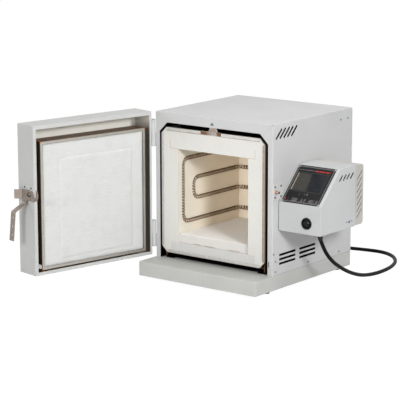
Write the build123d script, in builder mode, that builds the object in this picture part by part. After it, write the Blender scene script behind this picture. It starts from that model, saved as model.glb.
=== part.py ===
from build123d import *
import os
from math import atan2, degrees, radians, sqrt, tan

# Bench-top muffle furnace with a side-hinged door, a side-mounted control box and a mains lead.
# Millimetres, +Z up. Most sizes are measured from the case's front left bottom corner: x to the
# right, y to the back, z up from the top of the base.

# ---------------------------------------------------------------- driving dimensions
CASE_LEFT, CASE_FRONT = -179.8415, 28.8983          # where that corner stands in plan
FOOT_H, FOOT_R = 10.0, 11.0
BASE_H, LEDGE = 38.3, 73.7                    # base height, and how far it runs in front of the case
BASE_TOP = FOOT_H + BASE_H
CASE_W, CASE_D, CASE_H = 381.0, 364.0, 393.0
SHEET = 1.5
BEND = 2.0                                    # outside radius of the folded panels
THIN = 1.2
FIT = 0.2                                     # play of a shank in its hole

STILE_L, STILE_R, HEADER = 14.0, 15.0, 27.0   # the front frame round the muffle
OPENING_TOP = CASE_H - HEADER
CORNER = 25.0                                 # chamfered top corners of the front opening
SEAM = 0.3

WRAP_X, WRAP_Z, WRAP_CHAMFER = (21.8, 358.4), (17.0, 354.5), 16.5
WRAP_T, TAB_T = 1.0, 0.8
WRAP_FRONT, BRICK_FRONT, BACK_FACE, MUFFLE_BACK = -2.0, -1.2, 267.0, 299.5
CHAMBER_X, ROOF, HEARTH_TOP = (76.2, 304.8), 299.5, 70.5
SLAB_X, SLAB_SEAM, SILL_TOP = (51.0, 326.0), 320.5, 47.5

COIL_R = 5.5                                  # the element's wound diameter is twice this
COIL_LEVELS = (100.0, 157.5, 213.5, 270.0)
COIL_FRONT, COIL_INNER = 20.4, 65.0

DOOR_RIM, DOOR_T, DOOR_Z = -2.0, 68.9, (5.1, 392.7)
TRAY_X, TRAY_Z, TRAY_Y = (21.0, 359.0), (17.5, 350.5), (-50.0, -3.0)
HINGE_X, HINGE_Y, KNUCKLE_R, PIN_R = -6.2, -1.6, 5.5, 2.5
HINGE_SPANS = ((26.8, 97.6), (298.5, 369.2))
DOOR_OPEN = 102.0

BOX_X, BOX_Y, BOX_Z = (383.0, 511.5), (25.0, 180.5), (118.0, 278.0)
SLOPE = 86.0                                  # run and rise of the sloped front
SCREEN_X, SCREEN_S = (398.0, 486.0), (42.0, 95.0)
SWITCH_X, SWITCH_Z, SWITCH_R = 468.5, 146.0, 15.5
GUARD_Y, GUARD_Z = 218.0, (120.0, 277.0)
LOCK_Y, LOCK_Z = 152.8, 135.3

LATCH_X, LATCH_T = 385.5, 2.0
PIVOT_Y, PIVOT_Z, PIVOT_R = -15.3, 216.5, 4.0
STUD_Y, STUD_Z, STUD_R = 11.0, 218.5, 3.0

CORD_R = 5.0
FLOOR = -BASE_TOP                             # height of the bench below the base top

# ---------------------------------------------------------------- planes
ORIGIN = (CASE_LEFT, CASE_FRONT, BASE_TOP)
FRONT = Plane(origin=ORIGIN, x_dir=(1, 0, 0), z_dir=(0, -1, 0))
SIDE = Plane(origin=ORIGIN, x_dir=(0, 1, 0), z_dir=(1, 0, 0))
TOP = Plane(origin=ORIGIN, x_dir=(1, 0, 0), z_dir=(0, 0, 1))
FACE = Plane(
    origin=(CASE_LEFT, CASE_FRONT + BOX_Y[0], BASE_TOP + BOX_Z[1] - SLOPE), x_dir=(1, 0, 0), z_dir=(0, -1, 1)
)

# The door is drawn shut, in the case's own measures, and its planes are swung open on the hinge.
HINGE = Location((CASE_LEFT + HINGE_X, CASE_FRONT + HINGE_Y, 0))
SWING = HINGE * Location((0, 0, 0), (0, 0, -DOOR_OPEN)) * HINGE.inverse()
DOOR_FRONT = Plane(SWING * FRONT.location)
DOOR_SIDE = Plane(SWING * SIDE.location)
DOOR_TOP = Plane(SWING * TOP.location)


def at(x, y, z):
    """A point given in the case's measures."""
    return Vector(CASE_LEFT + x, CASE_FRONT + y, BASE_TOP + z)


def rect(span_a, span_b):
    """A rectangle between two pairs of sketch coordinates."""
    with Locations(((span_a[0] + span_a[1]) / 2, (span_b[0] + span_b[1]) / 2)):
        Rectangle(span_a[1] - span_a[0], span_b[1] - span_b[0])


def muffle_outline(inset):
    """The chamfered muffle section, drawn in from the outside of its sheet wrap."""
    (x0, x1), (z0, z1) = WRAP_X, WRAP_Z
    x0, x1, z0, z1 = x0 + inset, x1 - inset, z0 + inset, z1 - inset
    cut = WRAP_CHAMFER - inset * (2 - sqrt(2))
    Polygon(
        (x0 + cut, z0), (x1 - cut, z0), (x1, z0 + cut), (x1, z1 - cut),
        (x1 - cut, z1), (x0 + cut, z1), (x0, z1 - cut), (x0, z0 + cut), align=None,
    )


def finish(piece, name):
    """Label a finished piece and write its STEP file."""
    piece.part.label = name
    export_step(piece.part, f"parts/{name}.step")


os.makedirs("parts", exist_ok=True)

# ---------------------------------------------------------------- base
LIP, COVER_T = 15.0, 1.2
COVER_Z = -BASE_H + COVER_T
with BuildPart() as base_tray:
    with BuildSketch(TOP):
        rect((0, CASE_W), (-LEDGE, CASE_D))
    extrude(amount=-BASE_H)
    fillet(base_tray.edges().filter_by(Axis.Z), BEND)
    fillet(base_tray.faces().sort_by(Axis.Z)[-1].edges(), BEND / 2)
    offset(amount=-SHEET, openings=base_tray.faces().sort_by(Axis.Z)[0], kind=Kind.INTERSECTION)
    with BuildSketch(TOP.offset(COVER_Z)):
        rect((SHEET, CASE_W - SHEET), (SHEET - LEDGE, CASE_D - SHEET))
        with Locations((CASE_W / 2, (CASE_D - LEDGE) / 2)):
            Rectangle(CASE_W - 2 * LIP, CASE_D + LEDGE - 2 * LIP, mode=Mode.SUBTRACT)
    extrude(amount=SHEET)
finish(base_tray, "base_tray")

FEET = [(26.3, 8.0), (354.7, 8.0), (26.3, 332.0), (354.7, 332.0)]
SCREW_R, SCREW_HEAD_R = 2.0, 4.0
with BuildPart() as base_cover:
    with BuildSketch(TOP.offset(-BASE_H)):
        rect((SHEET + FIT, CASE_W - SHEET - FIT), (SHEET + FIT - LEDGE, CASE_D - SHEET - FIT))
        with Locations(*FEET):
            Circle(SCREW_R + FIT, mode=Mode.SUBTRACT)
        with Locations((CASE_W / 2, CASE_D / 2)), GridLocations(90, 24, 3, 5):
            SlotOverall(62, 5, mode=Mode.SUBTRACT)
    extrude(amount=COVER_T)
finish(base_cover, "base_cover")

HEAD_DEPTH = 5.0
with BuildPart() as feet:
    with BuildSketch(TOP.offset(-BASE_H)):
        with Locations(*FEET):
            Circle(FOOT_R)
    extrude(amount=-FOOT_H, taper=4)
    with BuildSketch(TOP.offset(-BASE_H)):
        with Locations(*FEET):
            Circle(SCREW_R + FIT)
    extrude(amount=-FOOT_H, mode=Mode.SUBTRACT)
    with BuildSketch(TOP.offset(FLOOR)):
        with Locations(*FEET):
            Circle(SCREW_HEAD_R + 0.6)
    extrude(amount=HEAD_DEPTH, mode=Mode.SUBTRACT)
finish(feet, "feet")

with BuildPart() as foot_screws:
    with BuildSketch(TOP.offset(FLOOR + HEAD_DEPTH)):
        with Locations(*FEET):
            Circle(SCREW_HEAD_R)
    extrude(amount=-3)
    with BuildSketch(TOP.offset(FLOOR + HEAD_DEPTH)):
        with Locations(*FEET):
            Circle(SCREW_R)
    extrude(amount=10)
finish(foot_screws, "foot_screws")

# ---------------------------------------------------------------- case panels
SIDE_TOP = CASE_H - BEND - 1
FLANGE = 16.0
VENT_A, VENT_B, VENT_Z, VENT_H = (31.0, 102.0), (121.5, 193.0), (28.0, 39.5, 51.0), 4.5
LOUVRE_Y, LOUVRE_Z = (14.0, 30.5, 47.6, 63.8, 81.0), 354.7
LOUVRE_RUN, LOUVRE_RISE, LOUVRE_W = 24.0, 23.0, 3.5
PANEL_SCREWS = [
    (5.4, 57.3), (13.7, 36.9), (14.0, 9.7), (160.5, 9.0), (306.0, 9.6), (306.7, 367.4), (341.6, 367.2)
]
PANEL_SCREW_R = 1.5
SLIT_X, SLIT_Z = (368.0, 370.6), (23.0, 37.6)
BUSH_Y, BUSH_Z, BUSH_R = 130.0, 160.0, 10.0
for name, edge, inward, stile in (("case_left", 0.0, 1, STILE_L), ("case_right", CASE_W, -1, STILE_R)):
    # the mitre runs from the panel's outer top corner to the chamfer of the opening
    seam = (CASE_H - OPENING_TOP + CORNER + stile - SEAM) / 2
    with BuildPart() as panel:
        with BuildSketch(SIDE.offset(edge)):
            rect((0, CASE_D), (0, SIDE_TOP))
        extrude(amount=inward * SHEET)
        with BuildSketch(FRONT.offset(-SHEET)):
            Polygon(
                (edge, 0), (edge + inward * stile, 0), (edge + inward * stile, OPENING_TOP - CORNER),
                (edge + inward * seam, CASE_H - SEAM - seam),
                (edge + inward * (CASE_H - SEAM - SIDE_TOP), SIDE_TOP), (edge, SIDE_TOP), align=None,
            )
        extrude(amount=SHEET)
        with BuildSketch(TOP):
            rect(sorted((edge, edge + inward * FLANGE)), (SHEET, CASE_D))
        extrude(amount=SHEET)
        with BuildSketch(FRONT.offset(-CASE_D)):
            rect(sorted((edge, edge + inward * FLANGE)), (0, SIDE_TOP))
        extrude(amount=SHEET)
        corner = panel.edges().filter_by(Axis.Z).group_by(Axis.Y)[0].sort_by(Axis.X)
        fillet(corner[0 if inward > 0 else -1], BEND)
        with BuildSketch(SIDE.offset(edge)):
            for span in (VENT_A, VENT_B):
                with Locations(*[(sum(span) / 2, z) for z in VENT_Z]):
                    SlotOverall(span[1] - span[0], VENT_H)
            with Locations(*[(y + LOUVRE_RUN / 2, LOUVRE_Z + LOUVRE_RISE / 2) for y in LOUVRE_Y]):
                SlotOverall(
                    sqrt(LOUVRE_RUN**2 + LOUVRE_RISE**2), LOUVRE_W,
                    rotation=degrees(atan2(LOUVRE_RISE, LOUVRE_RUN)),
                )
            with Locations(*PANEL_SCREWS[3:]):
                Circle(PANEL_SCREW_R + FIT)
            if inward < 0:
                with Locations((BUSH_Y, BUSH_Z)):
                    Circle(BUSH_R + FIT)
        extrude(amount=inward * SHEET, mode=Mode.SUBTRACT)
        if inward < 0:
            with BuildSketch(FRONT):
                rect(SLIT_X, SLIT_Z)
            extrude(amount=-SHEET, mode=Mode.SUBTRACT)
            with BuildSketch(SIDE.offset(edge)):
                with Locations(*PANEL_SCREWS[:3]):
                    Circle(PANEL_SCREW_R + FIT)
            extrude(amount=-SHEET, mode=Mode.SUBTRACT)
    finish(panel, name)

INNER_FLANGE = 20.0
CLIP_X, CLIP_SCREW_Z = 188.3, 375.2
with BuildPart() as case_top:
    with BuildSketch(FRONT.offset(-CASE_D)):
        rect((0, CASE_W), (OPENING_TOP - HEADER, CASE_H))
    extrude(amount=CASE_D)
    ridge = case_top.faces().sort_by(Axis.Z)[-1].edges()
    fillet(ridge.filter_by(Axis.Y) + ridge.filter_by(Axis.X).sort_by(Axis.Y)[:1], BEND)
    with BuildSketch(FRONT.offset(-CASE_D)):
        rect((SHEET, CASE_W - SHEET), (OPENING_TOP - HEADER, CASE_H - SHEET))
        rect((0, CASE_W), (OPENING_TOP - HEADER, SIDE_TOP + 0.1))
    extrude(amount=CASE_D - SHEET, mode=Mode.SUBTRACT)
    with BuildSketch(FRONT.offset(-SHEET)):
        rect((-1, CASE_W + 1), (OPENING_TOP - HEADER, CASE_H + 1))
        with BuildSketch(FRONT.offset(-SHEET), mode=Mode.SUBTRACT):
            left, right = (CORNER + STILE_L + HEADER) / 2, (CORNER + STILE_R + HEADER) / 2
            Polygon(
                (-1, CASE_H + 1), (left, CASE_H - left), (STILE_L + CORNER, OPENING_TOP),
                (CASE_W - STILE_R - CORNER, OPENING_TOP), (CASE_W - right, CASE_H - right),
                (CASE_W + 1, CASE_H + 1), align=None,
            )
        with Locations((CLIP_X, CLIP_SCREW_Z)):
            Circle(SCREW_R + FIT)
    extrude(amount=SHEET, mode=Mode.SUBTRACT)
    for x in (SHEET + 0.1, CASE_W - 2 * SHEET - 0.1):
        with BuildSketch(SIDE.offset(x)):
            rect((20, CASE_D - 20), (CASE_H - SHEET - INNER_FLANGE, CASE_H - SHEET))
            with Locations(*PANEL_SCREWS[-2:]):
                Circle(PANEL_SCREW_R + FIT, mode=Mode.SUBTRACT)
        extrude(amount=SHEET)
finish(case_top, "case_top")

BACK_Y = CASE_D - SHEET
with BuildPart() as back_panel:
    with BuildSketch(FRONT.offset(-BACK_Y)):
        rect((SHEET + FIT, CASE_W - SHEET - FIT), (SHEET + FIT, CASE_H - SHEET - FIT))
        with Locations((CASE_W / 2, 345)), GridLocations(88, 14, 3, 3):
            SlotOverall(66, 5, mode=Mode.SUBTRACT)
        with Locations((CASE_W / 2, 45)), GridLocations(88, 14, 3, 2):
            SlotOverall(66, 5, mode=Mode.SUBTRACT)
    extrude(amount=SHEET)
finish(back_panel, "back_panel")

with BuildPart() as case_screws:
    for x, outward in ((0, -1), (CASE_W, 1)):
        spots = PANEL_SCREWS if outward > 0 else PANEL_SCREWS[3:]
        with BuildSketch(SIDE.offset(x)):
            with Locations(*spots):
                Circle(3)
        extrude(amount=outward * 1.6, taper=22)
        with BuildSketch(SIDE.offset(x)):
            with Locations(*spots):
                Circle(PANEL_SCREW_R)
        extrude(amount=-outward * 2 * SHEET)
finish(case_screws, "case_screws")

# ---------------------------------------------------------------- muffle
TAB_L, TAB_R, TAB_TOP, TAB_BOTTOM = 6.9, 8.2, 9.5, 7.5
SHOE_X, SHOE_Z = (152.5, 217.4), (346.0, 354.2)
LEAD_X = 284.0                                # the element's lead-in, left of its lead-out
BUSHING_R, TERMINAL_R = 6.0, 2.5
TERMINALS = [(LEAD_X, COIL_LEVELS[0]), (CHAMBER_X[1], COIL_LEVELS[0])]
THERMO_X, THERMO_Z, THERMO_R = 190.5, 242.0, 3.0
with BuildPart() as muffle_wrap:
    with BuildSketch(FRONT.offset(-MUFFLE_BACK)):
        muffle_outline(0)
        with BuildSketch(FRONT.offset(-MUFFLE_BACK), mode=Mode.SUBTRACT):
            muffle_outline(WRAP_T)
    extrude(amount=MUFFLE_BACK - WRAP_FRONT)
    with BuildSketch(FRONT.offset(-WRAP_FRONT)):
        flat_x = (WRAP_X[0] + WRAP_CHAMFER, WRAP_X[1] - WRAP_CHAMFER)
        flat_z = (WRAP_Z[0] + WRAP_CHAMFER, WRAP_Z[1] - WRAP_CHAMFER)
        rect((WRAP_X[0], WRAP_X[0] + TAB_L), flat_z)
        rect((WRAP_X[1] - TAB_R, WRAP_X[1]), flat_z)
        rect(flat_x, (WRAP_Z[0], WRAP_Z[0] + TAB_BOTTOM))
        rect(flat_x, (WRAP_Z[1] - TAB_TOP, WRAP_Z[1]))
    extrude(amount=-TAB_T)
    with BuildSketch(FRONT.offset(-WRAP_FRONT)):
        rect((SHOE_X[0] - 1, SHOE_X[1] + 1), (WRAP_Z[1] - TAB_TOP - 1, WRAP_Z[1] + 1))
    extrude(amount=-TAB_T, mode=Mode.SUBTRACT)
    with BuildSketch(FRONT.offset(-MUFFLE_BACK - WRAP_T)):
        muffle_outline(0)
        with Locations(*TERMINALS):
            Circle(BUSHING_R + FIT, mode=Mode.SUBTRACT)
        with Locations((THERMO_X, THERMO_Z)):
            Circle(THERMO_R + FIT, mode=Mode.SUBTRACT)
    extrude(amount=WRAP_T)
finish(muffle_wrap, "muffle_wrap")

# the element runs round the chamber walls in four turns, half let into the brick
SIDE_L, SIDE_R = CHAMBER_X
Z1, Z2, Z3, Z4 = COIL_LEVELS
INNER_BEND, LOOP_BEND = 15.0, 22.0
COIL_PATH = [
    at(LEAD_X, MUFFLE_BACK, Z1), at(LEAD_X, BACK_FACE, Z1), at(SIDE_L, BACK_FACE, Z1),
    at(SIDE_L, COIL_FRONT, Z1), at(SIDE_L, COIL_FRONT, Z4), at(SIDE_L, BACK_FACE, Z4),
    at(SIDE_R, BACK_FACE, Z4), at(SIDE_R, COIL_FRONT, Z4), at(SIDE_R, COIL_FRONT, Z3),
    at(SIDE_R, BACK_FACE, Z3), at(SIDE_L, BACK_FACE, Z3), at(SIDE_L, COIL_INNER, Z3),
    at(SIDE_L, COIL_INNER, Z2), at(SIDE_L, BACK_FACE, Z2), at(SIDE_R, BACK_FACE, Z2),
    at(SIDE_R, COIL_FRONT, Z2), at(SIDE_R, COIL_FRONT, Z1), at(SIDE_R, MUFFLE_BACK, Z1),
]
COIL_BENDS = [10.0, INNER_BEND, LOOP_BEND, LOOP_BEND, INNER_BEND, INNER_BEND, LOOP_BEND, LOOP_BEND,
              INNER_BEND, INNER_BEND, LOOP_BEND, LOOP_BEND, INNER_BEND, INNER_BEND, LOOP_BEND, LOOP_BEND]
with BuildPart() as heating_element:
    with BuildLine() as coil_line:
        FilletPolyline(*COIL_PATH, radius=COIL_BENDS)
    with BuildSketch(Plane(origin=COIL_PATH[0], z_dir=(0, -1, 0))):
        Circle(COIL_R)
    sweep(path=coil_line.line)
finish(heating_element, "heating_element")

with BuildPart() as groove:
    with BuildSketch(Plane(origin=COIL_PATH[0], z_dir=(0, -1, 0))):
        Circle(COIL_R + 0.5)
    sweep(path=coil_line.line)

BRICK_IN = WRAP_T + 0.2
for name, wall, outer, rabbet in (
    ("left_wall", SIDE_L, WRAP_X[0] + BRICK_IN, SLAB_X[0]),
    ("right_wall", SIDE_R, WRAP_X[1] - BRICK_IN, SLAB_X[1]),
):
    with BuildPart() as brick:
        with BuildSketch(FRONT.offset(-BACK_FACE)):
            muffle_outline(BRICK_IN)
            with BuildSketch(FRONT.offset(-BACK_FACE), mode=Mode.INTERSECT):
                rect(sorted((outer, rabbet)), (WRAP_Z[0], SLAB_SEAM))
                rect(sorted((outer, wall)), (SILL_TOP, ROOF))
        extrude(amount=BACK_FACE - BRICK_FRONT)
        add(groove.part, mode=Mode.SUBTRACT)
    finish(brick, name)

with BuildPart() as roof_slab:
    with BuildSketch(FRONT.offset(-BACK_FACE)):
        muffle_outline(BRICK_IN)
        with BuildSketch(FRONT.offset(-BACK_FACE), mode=Mode.INTERSECT):
            rect(WRAP_X, (SLAB_SEAM, WRAP_Z[1]))
            rect(SLAB_X, (ROOF, SLAB_SEAM))
    extrude(amount=BACK_FACE - BRICK_FRONT)
finish(roof_slab, "roof_slab")

SILL_BACK, HEARTH_X, HEARTH_FRONT = 12.0, (77.0, 304.0), 5.0
with BuildPart() as back_wall:
    with BuildSketch(FRONT.offset(-MUFFLE_BACK)):
        muffle_outline(BRICK_IN)
        with Locations((THERMO_X, THERMO_Z)):
            Circle(THERMO_R + FIT, mode=Mode.SUBTRACT)
    extrude(amount=MUFFLE_BACK - BACK_FACE)
    add(groove.part, mode=Mode.SUBTRACT)
finish(back_wall, "back_wall")

BRICK_BOTTOM = WRAP_Z[0] + BRICK_IN
with BuildPart() as floor_board:
    with BuildSketch(FRONT.offset(-BACK_FACE)):
        rect(SLAB_X, (BRICK_BOTTOM, SILL_TOP))
    extrude(amount=BACK_FACE - SILL_BACK)
finish(floor_board, "floor_board")

with BuildPart() as front_sill:
    with BuildSketch(FRONT.offset(-SILL_BACK)):
        rect(SLAB_X, (BRICK_BOTTOM, SILL_TOP))
    extrude(amount=SILL_BACK - BRICK_FRONT)
finish(front_sill, "front_sill")

with BuildPart() as hearth_plate:
    with BuildSketch(FRONT.offset(0.5 - BACK_FACE)):
        rect(HEARTH_X, (SILL_TOP, HEARTH_TOP))
    extrude(amount=BACK_FACE - 0.5 - HEARTH_FRONT)
    chamfer(hearth_plate.edges().filter_by(Axis.X).group_by(Axis.Y)[0].sort_by(Axis.Z)[-1], 1.5)
finish(hearth_plate, "hearth_plate")

BLOCK_Y = (312.0, 330.0)
with BuildPart() as element_terminals:
    with BuildSketch(FRONT.offset(-MUFFLE_BACK)):
        with Locations(*TERMINALS):
            Circle(TERMINAL_R)
    extrude(amount=MUFFLE_BACK - BLOCK_Y[1] - 6)
finish(element_terminals, "element_terminals")

with BuildPart() as terminal_block:
    for (near, far), radius in (
        ((MUFFLE_BACK, BLOCK_Y[0]), BUSHING_R), ((MUFFLE_BACK + WRAP_T, MUFFLE_BACK + WRAP_T + 3), 9)
    ):
        with BuildSketch(FRONT.offset(-far)):
            with Locations(*TERMINALS):
                Circle(radius)
        extrude(amount=far - near)
    with BuildSketch(FRONT.offset(-BLOCK_Y[1])):
        with Locations(((LEAD_X + SIDE_R) / 2, Z1)):
            RectangleRounded(SIDE_R - LEAD_X + 20, 22, 2)
    extrude(amount=BLOCK_Y[1] - BLOCK_Y[0])
    with BuildSketch(FRONT.offset(-BLOCK_Y[1])):
        with Locations(*TERMINALS):
            Circle(TERMINAL_R + FIT)
    extrude(amount=BLOCK_Y[1] - MUFFLE_BACK, mode=Mode.SUBTRACT)
finish(terminal_block, "terminal_block")

with BuildPart() as thermocouple:
    with BuildSketch(FRONT.offset(-252)):
        with Locations((THERMO_X, THERMO_Z)):
            Circle(THERMO_R)
    extrude(amount=-70)
    with BuildSketch(FRONT.offset(-MUFFLE_BACK - WRAP_T)):
        with Locations((THERMO_X, THERMO_Z)):
            RegularPolygon(8, 6)
    extrude(amount=-8)
finish(thermocouple, "thermocouple")

LEG_Y = (8.0, 292.0)
LEG_T = 3.0
with BuildPart() as muffle_supports:
    for leg, inward in ((28.0, 1), (352.5, -1)):
        with BuildSketch(FRONT.offset(-LEG_Y[1])):
            slant = [leg, leg + inward * LEG_T]
            shoulder = WRAP_X[0] if inward > 0 else WRAP_X[1]
            tops = [WRAP_Z[0] + WRAP_CHAMFER - abs(x - shoulder) for x in slant]
            Polygon(
                (slant[0], 0), (slant[0] + inward * 24, 0), (slant[0] + inward * 24, 2), (slant[1], 2),
                (slant[1], WRAP_Z[0] - 2), (slant[0] + inward * 34, WRAP_Z[0] - 2),
                (slant[0] + inward * 34, WRAP_Z[0]), (slant[1] + inward * 8, WRAP_Z[0]),
                (slant[1], WRAP_Z[0]), (slant[1], tops[1]), (slant[0], tops[0]), align=None,
            )
        extrude(amount=LEG_Y[1] - LEG_Y[0])
finish(muffle_supports, "muffle_supports")

CLIP_T = 1.2
CLIP_BACK = SHEET + CLIP_T
with BuildPart() as hold_down_clip:
    with BuildSketch(FRONT.offset(-CLIP_BACK)):
        Polygon((175.2, 355.7), (205.5, 355.7), (200.2, 367), (200.2, 389), (179.4, 389), (179.4, 367),
                align=None)
        with Locations((CLIP_X, CLIP_SCREW_Z)):
            Circle(SCREW_R + FIT, mode=Mode.SUBTRACT)
    extrude(amount=CLIP_T)
    with BuildSketch(SIDE.offset(SHOE_X[0])):
        Polygon((-2.4, SHOE_Z[0]), (BRICK_FRONT, SHOE_Z[0]), (BRICK_FRONT, WRAP_Z[1]), (CLIP_BACK, WRAP_Z[1]),
                (CLIP_BACK, 355.7), (-2.4, 355.7), align=None)
    extrude(amount=SHOE_X[1] - SHOE_X[0])
finish(hold_down_clip, "hold_down_clip")

with BuildPart() as clip_screw:
    with BuildSketch(FRONT):
        with Locations((CLIP_X, CLIP_SCREW_Z)):
            Circle(4)
    extrude(amount=2.4, taper=20)
    with BuildSketch(FRONT):
        with Locations((CLIP_X, CLIP_SCREW_Z)):
            Circle(SCREW_R)
    extrude(amount=-7)
    with BuildSketch(FRONT.offset(2.4)):
        with Locations((CLIP_X, CLIP_SCREW_Z)):
            Rectangle(4.4, 0.9)
            Rectangle(0.9, 4.4)
    extrude(amount=-1.2, mode=Mode.SUBTRACT)
finish(clip_screw, "clip_screw")

# ---------------------------------------------------------------- door interlock in the right stile
TONGUE_X, TONGUE_Z, TONGUE_END = (368.7, 369.9), (25.0, 35.0), 8.0
PLUNGER_X, PLUNGER_Z, PLUNGER_R, PLUNGER_TIP = 369.3, 30.0, 2.0, 8.3
SWITCH_FRONT = 12.0
with BuildPart() as interlock_switch:
    with BuildSketch(FRONT.offset(-SWITCH_FRONT - 22)):
        rect((361, 378), (15, 46))
    extrude(amount=22)
    with BuildSketch(SIDE.offset(378)):
        rect((8, 38), (5, 50))
        with Locations(*PANEL_SCREWS[1:3]):
            Circle(PANEL_SCREW_R + FIT, mode=Mode.SUBTRACT)
    extrude(amount=SHEET)
    with BuildSketch(FRONT.offset(-SWITCH_FRONT)):
        with Locations((PLUNGER_X, PLUNGER_Z)):
            Circle(PLUNGER_R + 0.1)
    extrude(amount=-7, mode=Mode.SUBTRACT)
finish(interlock_switch, "interlock_switch")

with BuildPart() as interlock_plunger:
    with BuildSketch(FRONT.offset(-PLUNGER_TIP)):
        with Locations((PLUNGER_X, PLUNGER_Z)):
            Circle(PLUNGER_R)
    extrude(amount=-8.5)
    chamfer(interlock_plunger.edges().group_by(Axis.Y)[0], 0.5)
finish(interlock_plunger, "interlock_plunger")

# ---------------------------------------------------------------- catch on the right side
with BuildPart() as catch_plate:
    with BuildSketch(SIDE.offset(CASE_W)):
        with Locations((21, 219.5)):
            RectangleRounded(40, 41, 3)
    extrude(amount=SHEET)
finish(catch_plate, "catch_plate")

RIVET_R, RIVET_H = 2.8, 1.4
with BuildPart() as catch_rivets:
    with BuildSketch(SIDE.offset(CASE_W + SHEET)):
        with Locations((8, 205), (34, 205), (8, 232), (34, 232)):
            Circle(RIVET_R)
    extrude(amount=RIVET_H, taper=30)
finish(catch_rivets, "catch_rivets")

with BuildPart() as striker_stud:
    with BuildSketch(SIDE.offset(CASE_W + SHEET)):
        with Locations((STUD_Y, STUD_Z)):
            Circle(4.4)
    extrude(amount=2.4)
    with BuildSketch(SIDE.offset(CASE_W + SHEET)):
        with Locations((STUD_Y, STUD_Z)):
            Circle(STUD_R)
    extrude(amount=12)
    chamfer(striker_stud.edges().group_by(Axis.X)[-1], 0.8)
finish(striker_stud, "striker_stud")

# ---------------------------------------------------------------- hinges
LEAF_REACH = 26.0
KNUCKLE_GAP = 0.4
for name, side_plane, top_plane, away, upper in (
    ("case_hinge_leaves", SIDE, TOP, 1, False), ("door_hinge_leaves", DOOR_SIDE, DOOR_TOP, -1, True),
):
    with BuildPart() as leaves:
        for low, high in HINGE_SPANS:
            middle = (low + high) / 2
            own = (middle + KNUCKLE_GAP / 2, high) if upper else (low, middle - KNUCKLE_GAP / 2)
            with BuildSketch(side_plane.offset(-THIN)):
                rect(sorted((HINGE_Y + away * 6, HINGE_Y + away * LEAF_REACH)), (low, high))
                rect(sorted((HINGE_Y, HINGE_Y + away * 6)), own)
                with Locations(*[(HINGE_Y + away * 17, z) for z in (low + 12, high - 12)]):
                    Circle(2, mode=Mode.SUBTRACT)
            extrude(amount=THIN)
            with BuildSketch(top_plane.offset(own[0])):
                with Locations((HINGE_X, HINGE_Y)):
                    Circle(KNUCKLE_R)
            extrude(amount=own[1] - own[0])
            with BuildSketch(top_plane.offset(own[0])):
                with Locations((HINGE_X, HINGE_Y)):
                    Circle(PIN_R + 0.05)
            extrude(amount=own[1] - own[0], mode=Mode.SUBTRACT)
    finish(leaves, name)

with BuildPart() as hinge_pins:
    for low, high in HINGE_SPANS:
        with BuildSketch(TOP.offset(low)):
            with Locations((HINGE_X, HINGE_Y)):
                Circle(PIN_R)
        extrude(amount=high - low + 0.5)
        with BuildSketch(TOP.offset(high + 0.5)):
            with Locations((HINGE_X, HINGE_Y)):
                Circle(4)
        extrude(amount=1.8, taper=20)
finish(hinge_pins, "hinge_pins")

# ---------------------------------------------------------------- door
RIM_X, RIM_Z, DOOR_BEND = (6.0, 371.5), (13.5, 382.6), 2.5
DOOR_MID_Z = sum(DOOR_Z) / 2
with BuildPart() as door_shell:
    with BuildSketch(DOOR_FRONT.offset(-DOOR_RIM)):
        rect((0, CASE_W), DOOR_Z)
    extrude(amount=DOOR_T)
    outward = DOOR_FRONT.z_dir
    fillet(door_shell.edges().filter_by(Axis(DOOR_FRONT.origin, outward)), DOOR_BEND)
    fillet(door_shell.faces().sort_by(Axis(DOOR_FRONT.origin, outward))[-1].edges(), DOOR_BEND - 0.5)
    offset(
        amount=-SHEET, openings=door_shell.faces().sort_by(Axis(DOOR_FRONT.origin, outward))[0],
        kind=Kind.INTERSECTION,
    )
    with BuildSketch(DOOR_FRONT.offset(-DOOR_RIM)):
        with Locations((CASE_W / 2, DOOR_MID_Z)):
            RectangleRounded(CASE_W, DOOR_Z[1] - DOOR_Z[0], DOOR_BEND)
        with BuildSketch(DOOR_FRONT.offset(-DOOR_RIM), mode=Mode.SUBTRACT):
            rect(RIM_X, RIM_Z)
    extrude(amount=SHEET)
finish(door_shell, "door_shell")

TRAY_T, TRAY_LIP = 1.0, 8.0
with BuildPart() as pad_frame:
    with BuildSketch(DOOR_FRONT.offset(-TRAY_Y[1])):
        rect(TRAY_X, TRAY_Z)
    extrude(amount=TRAY_Y[1] - TRAY_Y[0])
    offset(
        amount=-TRAY_T, openings=pad_frame.faces().sort_by(Axis(DOOR_FRONT.origin, DOOR_FRONT.z_dir))[0],
        kind=Kind.INTERSECTION,
    )
    with BuildSketch(DOOR_FRONT.offset(-TRAY_Y[1])):
        rect(TRAY_X, TRAY_Z)
        with Locations((sum(TRAY_X) / 2, sum(TRAY_Z) / 2)):
            Rectangle(
                TRAY_X[1] - TRAY_X[0] - 2 * TRAY_LIP, TRAY_Z[1] - TRAY_Z[0] - 2 * TRAY_LIP, mode=Mode.SUBTRACT
            )
    extrude(amount=TRAY_T)
finish(pad_frame, "pad_frame")

PAD_FACE = -2.8
with BuildPart() as door_pad:
    with BuildSketch(DOOR_FRONT.offset(-TRAY_Y[0] - TRAY_T)):
        rect([v + s * (TRAY_T + FIT) for v, s in zip(TRAY_X, (1, -1))],
             [v + s * (TRAY_T + FIT) for v, s in zip(TRAY_Z, (1, -1))])
    extrude(amount=TRAY_Y[0] + 2 * TRAY_T + FIT - TRAY_Y[1])
    with BuildSketch(DOOR_FRONT.offset(-PAD_FACE)):
        rect([v + s * (TRAY_LIP + FIT) for v, s in zip(TRAY_X, (1, -1))],
             [v + s * (TRAY_LIP + FIT) for v, s in zip(TRAY_Z, (1, -1))])
    extrude(amount=-PAD_FACE - TRAY_Y[1] + TRAY_T + 1)
finish(door_pad, "door_pad")

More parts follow.
